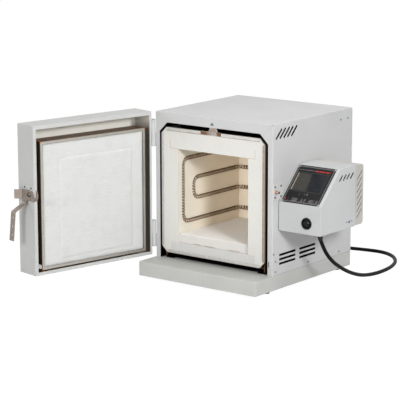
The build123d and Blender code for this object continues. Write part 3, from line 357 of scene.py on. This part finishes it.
def heat_tinted(name, silver, brown, door=False, reach=None, dark=None, burnt=None, mottle=0.5):
    """Stainless sheet, straw to brown near the heat. reach and burnt are masks of the brown and the
    orange places, dark is a mask of painted shade, and mottle says how much more brown comes in
    patches."""
    net = Finish(name, metallic=1.0)
    mm = net.millimetres(door)
    x, y, z = net.xyz(mm)
    brushed = net.noise(mm, 1.0, 3, 0.6, stretch=(0.08, 1.0, 0.9))
    patch = net.noise(mm, 11, 4, 0.65)
    amount = patch.rise(0.32, 0.62)
    if reach:
        amount = (amount * mottle + reach(x, y, z, patch)).lower(1)
    colour = net.blend(amount, silver, brown)
    specks = net.noise(mm, 3.0, 3).rise(0.55, 0.75)
    colour = net.blend(specks * 0.2, colour, scaled(brown, 0.6))
    if burnt:
        colour = net.blend(burnt(x, y, z, patch).lower(1), colour, tone(205, 118, 52))
    # painted shade: near black where the dark mask is 1
    if dark:
        colour = net.blend(dark(x, y, z).lower(1), colour, tone(30, 26, 22))
    rough = 0.34 + 0.2 * brushed + 0.12 * amount
    return net.shade(colour, rough, height=brushed + patch * 0.8, depth=0.05)


def plain_metal(name, colour, rough=0.3, collar=None):
    """Plated or turned metal: a fine scratch noise and soft stains. collar is the striker stud's
    coppery root, and its tip is then sooty."""
    net = Finish(name, metallic=1.0)
    mm = net.millimetres()
    scratch = net.noise(mm, 0.5, 3, 0.7)
    stain = net.noise(mm, 6, 3, 0.6)
    colour = net.blend(stain.rise(0.4, 0.7) * 0.6, colour, scaled(colour, 0.72))
    if collar:
        x = net.xyz(mm)[0]
        colour = net.blend(x.rise(386.5, 386.0), colour, collar)
        colour = net.blend(x.rise(392.5, 393), colour, tone(70, 64, 58))
    return net.shade(colour, rough + 0.16 * scratch, height=scratch, depth=0.02)


def plastic(name, colour, rough, coat=0.0, grain=0.04):
    """Moulded plastic or rubber: spark grain by a small noise and paler patches by a broad one."""
    net = Finish(name, coat_weight=coat, coat_roughness=0.06, specular_ior_level=0.22)
    mm = net.millimetres()
    fine = net.noise(mm, 0.6, 2, 0.6)
    broad = net.noise(mm, 20, 3, 0.5)
    pale = tuple(c + 0.004 for c in scaled(colour, 1.35))
    colour = net.blend(broad.rise(0.4, 0.75) * 0.5, colour, pale)
    return net.shade(colour, rough + 0.08 * fine, height=fine, depth=grain)


# Near black painted shade: on hidden inner faces and round slots and vents, where only shade falls.
PAINTED_SHADE = tone(12, 11, 10)
PAINT = powder_coat("case_paint", tone(188, 188, 188),
                    layers=[(case_folds, tone(120, 118, 112)), (case_shade, PAINTED_SHADE)])
BOX_PAINT = powder_coat("box_paint", tone(182, 183, 183), layers=[(box_shade, PAINTED_SHADE)])
# The door's recess is painted paler, as painted light, and its side walls dark brown, as painted
# shade.
DOOR_PAINT = powder_coat("door_paint", tone(186, 187, 185), door=True,
                         layers=[(door_inside, tone(246, 243, 235)), (door_recess_shade, tone(62, 56, 48))])
FITTING_PAINT = powder_coat("fittings_paint", tone(191, 192, 191))
BASE_PAINT = powder_coat("base_paint", tone(183, 184, 180), layers=[(base_shade, PAINTED_SHADE)])
GUARD_PAINT = powder_coat("guard_paint", tone(177, 173, 168),
                          layers=[(guard_slot_shade, tone(70, 66, 60))])
# The chamber's deep colour is the paler one: painted light.
BRICK = firebrick("insulating_brick", tone(205, 204, 199), tone(197, 193, 182),
                  tan=(tone(224, 218, 204), tone(252, 239, 219)))
SILL = firebrick("sill_board", tone(196, 195, 193), tone(176, 174, 170))
# The hearth's top colour is paler than its front: painted light.
HEARTH = firebrick("hearth_tile", tone(206, 203, 199), tone(198, 192, 186), top=tone(243, 241, 239))
ZINC = plain_metal("zinc_plate", tone(140, 158, 169), 0.28)
ALUMINIUM = plain_metal("extruded_aluminium", tone(190, 192, 194), 0.4)
GLOSS_BLACK = plastic("gloss_black", tone(11, 8, 6), 0.16, coat=0.08, grain=0.01)
MATT_BLACK = plastic("matt_black_moulding", tone(34, 34, 34), 0.5)
STUD = plain_metal("stud_steel", tone(186, 182, 176), 0.3, collar=tone(226, 148, 70))
RUBBER = plastic("foot_rubber", tone(9, 9, 9), 0.7, grain=0.1)
PORCELAIN = plastic("glazed_steatite", tone(230, 226, 214), 0.2, coat=0.3, grain=0.02)


def wrap_reach(x, y, z, patch):
    """Brown along each tab's inner edge, ragged by the patches, a thin line at its outer edge, and
    more all over the right tab."""
    inside = x.inset(21.8, 358.4).lower(z.inset(17, 354.5))
    inner_edge = (inside + patch * 4 - 2).rise(6.5, 8.5)
    outer_edge = (inside + patch).rise(1.4, 0.9)
    return inner_edge * 0.6 + outer_edge * 0.35 + x.rise(348, 350) * 0.7


def wrap_shade(x, y, z):
    """Painted shade: the wrap's outside goes dark behind its front edge, where it stands in shade."""
    return y.rise(0.5, 5)


LIP_X, LIP_Z = (21, 359), (17.5, 350.5)             # the outer edges of the door's tray's lip


def tray_reach(x, y, z, patch):
    """Brown lines at the lip's outer and inner edges."""
    edge = x.inset(*LIP_X).lower(z.inset(*LIP_Z)) + patch
    return edge.rise(1.8, 1.0) + edge.rise(7.6, 8.2) * 0.8


def tray_corners(x, y, z, patch):
    """Burnt orange patches at the lip's four corners."""
    corner = x.inset(*LIP_X) + z.inset(*LIP_Z)
    return (corner + patch * 6).rise(10.5, 6) * y.rise(-9, -5) * 0.9


def tray_shade(x, y, z):
    """Painted shade: the tray's sides darken towards the door's back, deep in the recess."""
    return y.rise(-8, -30) * z.rise(350, 349) * 0.2


def shoe_reach(x, y, z, patch):
    """The clip browns from its tongue down to the shoe."""
    middle = 189
    return (z + patch * 6).rise(362, 354) * (abs(x - middle) + patch * 14).rise(18, 27)


def leg_shade(x, y, z):
    """The supports' feet and backs stand in shade."""
    return z.rise(9, 3) + y.rise(10, 16)


WRAP = heat_tinted("muffle_sheet", tone(216, 215, 212), tone(146, 128, 112),
                   reach=wrap_reach, dark=wrap_shade, mottle=0.15)
TRAY = heat_tinted("pad_tray_sheet", tone(190, 188, 182), tone(122, 104, 88), door=True,
                   reach=tray_reach, dark=tray_shade, burnt=tray_corners, mottle=0.15)
SHOE = heat_tinted("clip_sheet", tone(186, 182, 176), tone(122, 92, 70), reach=shoe_reach)
LEGS = heat_tinted("support_sheet", tone(96, 84, 72), tone(128, 84, 50), dark=leg_shade)
STRAP = heat_tinted("latch_steel", tone(158, 148, 140), tone(143, 132, 123), door=True)
RIVET = plain_metal("aged_rivet", tone(104, 96, 90), 0.4)


def element_wire():
    """Oxidised resistance wire, dark brown against the walls. Where it stands out from them into the
    chamber it is painted paler in patches: painted light on the windings' lit side."""
    net = Finish("oxidised_wire", specular_ior_level=0.3)
    mm = net.millimetres()
    x, y, z = net.xyz(mm)
    facing = x.inset(WALL_L, WALL_R).lower(BACK - y).rise(0.8, 3.4)
    lit_patches = net.noise(mm, 30, 3, 0.6).rise(0.3, 0.6) * 0.5 + 0.5
    # painted light: paler where the wire faces into the chamber, in patches
    colour = net.blend(facing * lit_patches, tone(54, 36, 20), tone(190, 160, 126))
    fine = net.noise(mm, 0.8, 3, 0.6)
    return net.shade(colour, 0.62 + 0.2 * fine, height=fine, depth=0.04)


def felted_fibre():
    """Felted ceramic fibre: long soft lumps over fine hairs, with grey soiling in patches."""
    net = Finish("ceramic_fibre", specular_ior_level=0.1)
    mm = net.millimetres(door=True)
    hairs = net.noise(mm, 0.7, 5, 0.75)
    tufts = net.noise(mm, 6, 4, 0.6)
    patch = net.noise(mm, 34, 4, 0.6)
    colour = net.blend(patch.rise(0.4, 0.8) * 0.7, tone(200, 201, 199), tone(192, 193, 190))
    ripples = net.noise(mm, 9, 3, 0.55, stretch=(0.35, 1, 1.6))
    return net.shade(colour, 0.95, height=hairs * 0.3 + tufts * 0.6 + ripples * 1.6, depth=0.8)


def up_slope(y, z):
    """How far up the control box's sloped face, from its foot."""
    return (y + z - SLOPE_FOOT) * DIAGONAL


def screen_glass():
    """Dark display glass, bluish on the right, with faint wiping marks in its shine. Its left end is
    painted browner as a painted reflection, and its very left edge pale as a painted highlight."""
    net = Finish("display_glass", coat_weight=0.1, coat_roughness=0.1, specular_ior_level=0.3)
    mm = net.millimetres()
    x, y, z = net.xyz(mm)
    smear = net.noise(mm, 9, 4, 0.6, stretch=(0.3, 1, 1))
    # painted reflection: browner left of a slanted line
    left = (x + (up_slope(y, z) - 68) * 0.12).rise(446, 438)
    colour = net.blend(left, tone(24, 26, 33), tone(56, 54, 51))
    # painted highlight: a pale strip along the left edge
    colour = net.blend(x.rise(401.5, 399.5), colour, tone(150, 140, 122))
    return net.shade(colour, 0.2 + 0.12 * smear)


def printed_overlay():
    """Satin black overlay with thin printed rules: two borders, one round the display, a heading
    bar, rows of short dashes for labels, and a broken red bar with a red mark. Each is a step on x
    times one on s, the measure up the slope."""
    net = Finish("printed_overlay", coat_weight=0.03, coat_roughness=0.2, specular_ior_level=0.25)
    mm = net.millimetres()
    x, y, z = net.xyz(mm)
    s = up_slope(y, z)
    upright = (1, 0.05, 0.05)
    dashes = net.noise(mm, 4.5, 1, stretch=upright).rise(0.44, 0.5)
    dots = net.noise(mm, 2.6, 1, stretch=upright).rise(0.46, 0.52)

    edge = x.inset(388, 503).lower(s.inset(2.4, 119))
    border = edge.between(3.4, 3.9, 0.25) + edge.between(5.5, 5.7, 0.2) * 0.5
    display = (abs(x - 442) - 44).higher(abs(s - 68.5) - 26.5).between(2.2, 2.6, 0.2) * 0.25
    heading = abs(s - 105).rise(0.6, 0.2) * x.between(394, 445, 1) * 0.7
    rows = s.between(9, 10.4, 0.3) + s.between(13, 14.2, 0.3) + s.between(16.6, 17.4, 0.3)
    rows = rows * x.between(402, 494, 1) * dashes * 0.6
    label = s.between(29.5, 31, 0.3) + s.between(33, 34.5, 0.3)
    label = label * x.between(430, 455, 1) * dashes * 0.8
    rules = border + display + heading + rows + label

    red = s.between(103.2, 106.0, 0.5) * x.between(447, 491, 1) * (0.1 + 0.9 * dots)
    red += s.between(11, 15, 0.5) * x.between(394, 398, 0.5) * 0.5

    colour = net.blend(rules.lower(1) * 0.7, tone(24, 24, 26), tone(176, 174, 170))
    colour = net.blend(red.lower(1), colour, tone(206, 58, 54))
    fine = net.noise(mm, 0.7, 2)
    return net.shade(colour, 0.3 + 0.1 * fine, height=fine, depth=0.01)


def cord_sheath():
    """Satin black sheath, finely rippled, with dust in patches."""
    net = Finish("cord_sheath", specular_ior_level=0.15)
    mm = net.millimetres()
    fine = net.noise(mm, 0.9, 3, 0.6)
    dust = net.noise(mm, 25, 3, 0.6)
    colour = net.blend(dust.rise(0.45, 0.8) * 0.4, tone(9, 9, 10), tone(22, 21, 20))
    return net.shade(colour, 0.4 + 0.18 * fine, height=fine, depth=0.05)


WIRE = element_wire()
FIBRE = felted_fibre()
GLASS = screen_glass()
OVERLAY = printed_overlay()
SHEATH = cord_sheath()
LAMINATE = plastic("board_laminate", tone(30, 84, 52), 0.4)


# ------------------------------------------------------------------ the mains lead
LAID = -43.3                                        # the cord's middle where it lies on the bench
CORD_ROUTE = [
    (475, 79.5, 95.5), (478, 90, 69), (482, 116, 37.5), (484, 149, 14.5), (484, 194, -9),
    (482, 244, -27.5), (478, 293, -39), (479, 343, LAID), (478, 392, LAID), (469, 440, LAID),
    (448, 490, LAID), (416, 531, LAID), (383, 554, LAID), (349, 563, LAID), (301, 556, LAID),
    (262, 547, LAID), (228, 538, LAID), (196, 530, LAID), (168, 526, LAID),
]
CORD_TAIL = [
    (89, 452, -33), (83.6, 426.6, -33), (67.6, 406.1, -39.5), (44.2, 394.7, -37.2),
    (18.2, 394.7, -37.2),
]
COIL_X, COIL_Y = 150, 465                           # the coil's middle
COIL_START, COIL_STEP, COIL_POINTS = 96.0, 22.0, 37         # the first two in degrees


def coil_turns():
    """Two and a third turns on a ring, as control points: the first lies outside, the next inside
    it and the last on top of both, with radius and height in straight lines of the angle between
    these levels. The points stand out by 1 / cos of half a step, as the line cuts inside them."""
    angle = COIL_START + COIL_STEP * np.arange(COIL_POINTS)
    radius = np.interp(angle, (380, 436, 748, 806, 820, 912), (65.4, 54.6, 54.6, 60.6, 60.6, 63.0))
    radius = radius / math.cos(math.radians(COIL_STEP / 2))
    height = np.interp(angle, (700, 746), (LAID, LAID + 10.4))
    turn = np.radians(angle)
    return np.stack([COIL_X + radius * np.cos(turn), COIL_Y + radius * np.sin(turn), height], 1)


def nurbs_cord(name, points, radius, material):
    """A smooth NURBS line of order three on its control points, with a round bevel."""
    data = bpy.data.curves.new(name, "CURVE")
    data.dimensions = "3D"
    data.bevel_depth = radius
    data.bevel_resolution = 5
    data.resolution_u = 8
    data.use_fill_caps = True
    spline = data.splines.new("NURBS")
    spline.points.add(len(points) - 1)
    spline.points.foreach_set("co", np.c_[points, np.ones(len(points))].ravel())
    spline.order_u = 3
    spline.use_endpoint_u = True
    data.materials.append(material)
    piece = bpy.data.objects.new(name, data)
    bpy.context.scene.collection.objects.link(piece)
    return piece


cord_points = place(np.concatenate([CORD_ROUTE, coil_turns(), CORD_TAIL]))
mains_lead = nurbs_cord("mains_lead", cord_points, 0.005, SHEATH)
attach(mains_lead, "cabinet")
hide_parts("power_cord", "cord_coil")


# ------------------------------------------------------------------ surfaces
def sheet_of(name, points, material, tube=False, smooth=True):
    """A mesh from a grid of points (u, v, 3): each square of four neighbours is a face. A tube
    joins each row's last point to its first, and gives the first and last rows a flat face."""
    nu, nv = points.shape[:2]
    index = np.arange(nu * nv).reshape(nu, nv)
    u, v = np.arange(nu - 1), np.arange(nv if tube else nv - 1)
    a, b = index[u][:, v], index[u + 1][:, v]
    c, d = index[u + 1][:, (v + 1) % nv], index[u][:, (v + 1) % nv]
    faces = np.stack([a, b, c, d], -1).reshape(-1, 4).tolist()
    if tube:
        faces += [index[0][::-1].tolist(), index[-1].tolist()]
    mesh = bpy.data.meshes.new(name)
    mesh.from_pydata(points.reshape(-1, 3).tolist(), [], faces)
    mesh.materials.append(material)
    mesh.polygons.foreach_set("use_smooth", np.full(len(mesh.polygons), smooth))
    mesh.update()
    piece = bpy.data.objects.new(name, mesh)
    bpy.context.scene.collection.objects.link(piece)
    return piece


def dress(material, *nodes):
    """Gives carried-over nodes their finish."""
    for node in nodes:
        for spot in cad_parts[node].material_slots:
            spot.material = material


dress(PAINT, "case_left", "case_right", "case_top")
dress(BOX_PAINT, "control_box")
dress(FITTING_PAINT, "catch_plate", "case_hinge_leaves", "door_hinge_leaves", "latch_base",
      "interlock_tongue", "box_rear_cover", "back_panel")
dress(BASE_PAINT, "base_tray")
dress(DOOR_PAINT, "door_shell")
dress(STRAP, "latch_lever")
dress(GUARD_PAINT, "heat_sink_guard")
dress(BRICK, "left_wall", "right_wall", "roof_slab", "back_wall", "floor_board")
dress(SILL, "front_sill")
dress(HEARTH, "hearth_plate")
dress(WRAP, "muffle_wrap")
dress(TRAY, "pad_frame")
dress(SHOE, "hold_down_clip")
dress(LEGS, "muffle_supports")
dress(ZINC, "base_cover", "foot_screws", "case_screws", "element_terminals", "thermocouple",
      "clip_screw", "hinge_pins", "pad_standoffs", "fascia_screws", "panel_lock")
dress(RIVET, "catch_rivets", "latch_rivets", "latch_pivot", "lock_receptacle")
dress(STUD, "striker_stud")
dress(ALUMINIUM, "heat_sink")
dress(GLOSS_BLACK, "switch_body", "switch_rocker")
dress(OVERLAY, "fascia_panel")
dress(MATT_BLACK, "interlock_switch", "interlock_plunger", "box_spacer", "power_relay",
      "strain_relief", "cord_plug")
dress(RUBBER, "feet")
dress(PORCELAIN, "terminal_block")
dress(LAMINATE, "control_board")
dress(GLASS, "touch_screen")


# ------------------------------------------------------------------ the wound element
ROW_1, ROW_2, ROW_3, ROW_4 = 100, 157.5, 213.5, 270         # the heights of the element's runs
FRONT, INNER, TERMINALS = 20.4, 65, 299.5           # how far back its loops and its ends are
ELEMENT = [
    (284, TERMINALS, ROW_1), (284, BACK, ROW_1), (WALL_L, BACK, ROW_1), (WALL_L, FRONT, ROW_1),
    (WALL_L, FRONT, ROW_4), (WALL_L, BACK, ROW_4), (WALL_R, BACK, ROW_4), (WALL_R, FRONT, ROW_4),
    (WALL_R, FRONT, ROW_3), (WALL_R, BACK, ROW_3), (WALL_L, BACK, ROW_3), (WALL_L, INNER, ROW_3),
    (WALL_L, INNER, ROW_2), (WALL_L, BACK, ROW_2), (WALL_R, BACK, ROW_2), (WALL_R, FRONT, ROW_2),
    (WALL_R, FRONT, ROW_1), (WALL_R, TERMINALS, ROW_1),
]
BENDS = [10, 15, 22, 22, 15, 15, 22, 22, 15, 15, 22, 22, 15, 15, 22, 22]
PATH_STEP = 2.0
COIL_RADIUS, WIRE_RADIUS, PITCH = 4.25, 1.1, 7.8
PER_TURN, WIRE_SIDES = 16, 6
LEAN = (0.62, -0.45, 0.64)                          # a direction that no run of the element takes


def unit(vectors):
    """Each vector divided by its length."""
    return vectors / np.linalg.norm(vectors, axis=-1, keepdims=True)


def straight(start, end):
    """Points in a line from start, which is left out, to end."""
    t = np.linspace(0, 1, max(2, int(np.linalg.norm(end - start) / PATH_STEP)))[1:, None]
    return start + (end - start) * t


def rounded(corners, radii):
    """A path of straight runs and quarter bends at square corners. A bend's point at angle q is its
    start plus r sin q along the run before it and r (1 - cos q) along the run after it."""
    corners = np.asarray(corners, float)
    pieces = [corners[:1]]
    for a, b, c, r in zip(corners, corners[1:], corners[2:], radii):
        before, after = unit(b - a), unit(c - b)
        start = b - before * r
        pieces.append(straight(pieces[-1][-1], start))
        q = np.linspace(0, math.pi / 2, max(4, int(r * 1.6 / PATH_STEP)))[1:, None]
        pieces.append(start + before * r * np.sin(q) + after * r * (1 - np.cos(q)))
    pieces.append(straight(pieces[-1][-1], corners[-1]))
    return np.concatenate(pieces)


def wound_wire(name, path, material):
    """Wire wound round a path: at distance s its middle stands a coil's radius, which wobbles by a
    few hundredths, off the path at the angle 2 pi s / pitch, and a small ring is drawn round it."""
    steps = np.linalg.norm(np.diff(path, axis=0), axis=1)
    along = np.concatenate([[0], np.cumsum(steps)])
    s = np.linspace(0, along[-1], int(along[-1] / PITCH * PER_TURN))
    centre = np.stack([np.interp(s, along, path[:, i]) for i in range(3)], 1)
    tangent = unit(np.gradient(centre, axis=0))
    across = unit(np.cross(tangent, LEAN))
    other = np.cross(tangent, across)
    turn = (2 * math.pi * s / PITCH)[:, None]
    outward = across * np.cos(turn) + other * np.sin(turn)
    wobble = 1 + 0.02 * np.sin(s / 17) + 0.015 * np.sin(s / 5.3)
    line = centre + outward * (COIL_RADIUS * wobble)[:, None]
    side = np.cross(unit(np.gradient(line, axis=0)), outward)
    ring = np.linspace(0, 2 * math.pi, WIRE_SIDES, endpoint=False)[None, :, None]
    rim = np.cos(ring) * outward[:, None] + np.sin(ring) * side[:, None]
    return sheet_of(name, place(line[:, None] + WIRE_RADIUS * rim), material, tube=True)


element = wound_wire("wound_element", rounded(ELEMENT, BENDS), WIRE)
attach(element, "cabinet")
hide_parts("heating_element")


# ------------------------------------------------------------------ the door's fibre pad
FACE_X, FACE_Z = (28.6, 351.4), (25.1, 342.9)       # the pad's face within its tray's lip
MARK_X, MARK_Z = (66, 297), (41, 300)               # the print of the chamber's mouth on it
TUCK, TUCK_Y, PAD_BACK = 6.2, -4.6, -48.5           # its border under the lip, and its back
PAD_POINTS = 150


def fibre_pad():
    """A felted pad in its tray. Its face is a depth over width X and height Z: it stands out within
    the print of the chamber's mouth by a tanh step, is creased along it by a bell curve, waves with
    a few sines and falls off towards its edge by an exponential. Its border runs under the tray's
    lip and turns back to the door."""
    def spread(low, high):
        """Places along one side of the pad, from one border to the other."""
        face = np.linspace(low, high, PAD_POINTS)
        return np.concatenate([[low - TUCK] * 2, face, [high + TUCK] * 2])

    def inset(values, low, high):
        """How far they are in from the nearer of low and high."""
        return np.minimum(values - low, high - values)

    X, Z = np.meshgrid(spread(*FACE_X), spread(*FACE_Z), indexing="ij")
    edge = np.minimum(inset(X, *FACE_X), inset(Z, *FACE_Z))
    mark = np.minimum(inset(X, *MARK_X), inset(Z, *MARK_Z))
    inside = 0.5 + 0.5 * np.tanh(mark / 3.5)
    crease = np.exp(-((mark + 1.5) / 2.2) ** 2) * (1 + 0.5 * np.sin(X / 11) * np.sin(Z / 14))
    waves = (0.5 * np.sin(X / 31 + 0.8 * np.sin(Z / 47)) + 0.4 * np.sin(Z / 23 + X / 61)
             + 0.22 * np.sin(X / 9.5 + 2 * np.sin(Z / 19)) * np.sin(Z / 13))
    Y = -4.3 + 1.3 * inside - 0.9 * crease + 0.6 * waves
    Y = np.minimum(Y, -2.4) - 2.2 * np.exp(-np.clip(edge, 0, None) / 3.0)
    Y[0, :] = Y[-1, :] = Y[:, 0] = Y[:, -1] = PAD_BACK
    Y[1, 1:-1] = Y[-2, 1:-1] = Y[1:-1, 1] = Y[1:-1, -2] = TUCK_Y
    return sheet_of("fibre_pad", swing(np.stack([X, Y, Z], -1)), FIBRE)


pad = fibre_pad()
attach(pad, "door")
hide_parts("door_pad")


# ------------------------------------------------------------------ light and floor
def surround():
    """A world that the camera, mirrors and glass see white, and a softer one for all else."""
    world = bpy.data.worlds.new("surround")
    bpy.context.scene.world = world
    world.use_nodes = True
    net = Net(world.node_tree)
    seen = net.ray("Is Camera Ray").higher(net.ray("Is Transmission Ray"))
    seen = seen.higher(net.ray("Is Glossy Ray"))
    strength = net.add("ShaderNodeMapRange", {}, {"Value": seen, "To Min": 0.36, "To Max": 1.0})
    background = net.tree.nodes["Background"].inputs
    net.feed(background["Color"], (1, 1, 1))
    net.feed(background["Strength"], strength)


def aimed(light, spot, aim):
    """A lamp at spot, turned to look at aim."""
    lamp = bpy.data.objects.new(light.name, light)
    here, there = Vector(place(spot)), Vector(place(aim))
    turned = (there - here).to_track_quat("-Z", "Y").to_matrix().to_4x4()
    lamp.matrix_world = Matrix.Translation(here) @ turned
    bpy.context.scene.collection.objects.link(lamp)


AREA_LAMPS = [                                      # name, spot, aim, width and power
    ("right_lamp", (2290, -1000, 1115), (190, 0, 180), 450, 39),
    ("front_lamp", (150, -2500, 850), (190, 100, 150), 500, 20),
    ("left_lamp", (-1900, -1500, 850), (-60, -300, 200), 450, 7),
    ("ceiling_lamp", (500, 250, 1900), (250, 150, 200), 1300, 17),
]


def lamps():
    """A narrow lamp into the chamber and four soft ones round the furnace."""
    narrow = bpy.data.lights.new("chamber_lamp", "SPOT")
    narrow.energy, narrow.shadow_soft_size = 40, 0.12
    narrow.spot_size, narrow.spot_blend = math.radians(10.2), 0.75
    aimed(narrow, (560, -2400, 620), (190, 60, 185))
    for name, spot, aim, width, power in AREA_LAMPS:
        light = bpy.data.lights.new(name, "AREA")
        light.size, light.energy = width / 1000, power
        aimed(light, spot, aim)


def pale_floor():
    """The bench, as a wide pale floor: it keeps the shadow, but the camera sees it nearly white."""
    net = Finish("pale_floor", specular_ior_level=0.0)
    tint = net.noise(net.millimetres(), 60, 2) * 0.3
    net.shade(net.blend(tint, (0.75, 0.75, 0.75), (0.72, 0.72, 0.72)), 0.9)
    white = net.add("ShaderNodeEmission", {}, {"Strength": 1.1})
    plain = Value(net, net.shader.outputs[0])
    share = net.ray("Is Camera Ray") * 0.88
    mixed = net.add("ShaderNodeMixShader", {}, {0: share, 1: plain, 2: white})
    net.feed(net.tree.nodes["Material Output"].inputs["Surface"], mixed)

    ends, gap = (-9000, 9000), 0.05                 # the gap keeps it clear of what stands on it
    corners = np.array([[(x, y, BENCH - gap) for y in ends] for x in ends])
    floor = sheet_of("floor", place(corners), net.material, smooth=False)


surround()
lamps()
pale_floor()
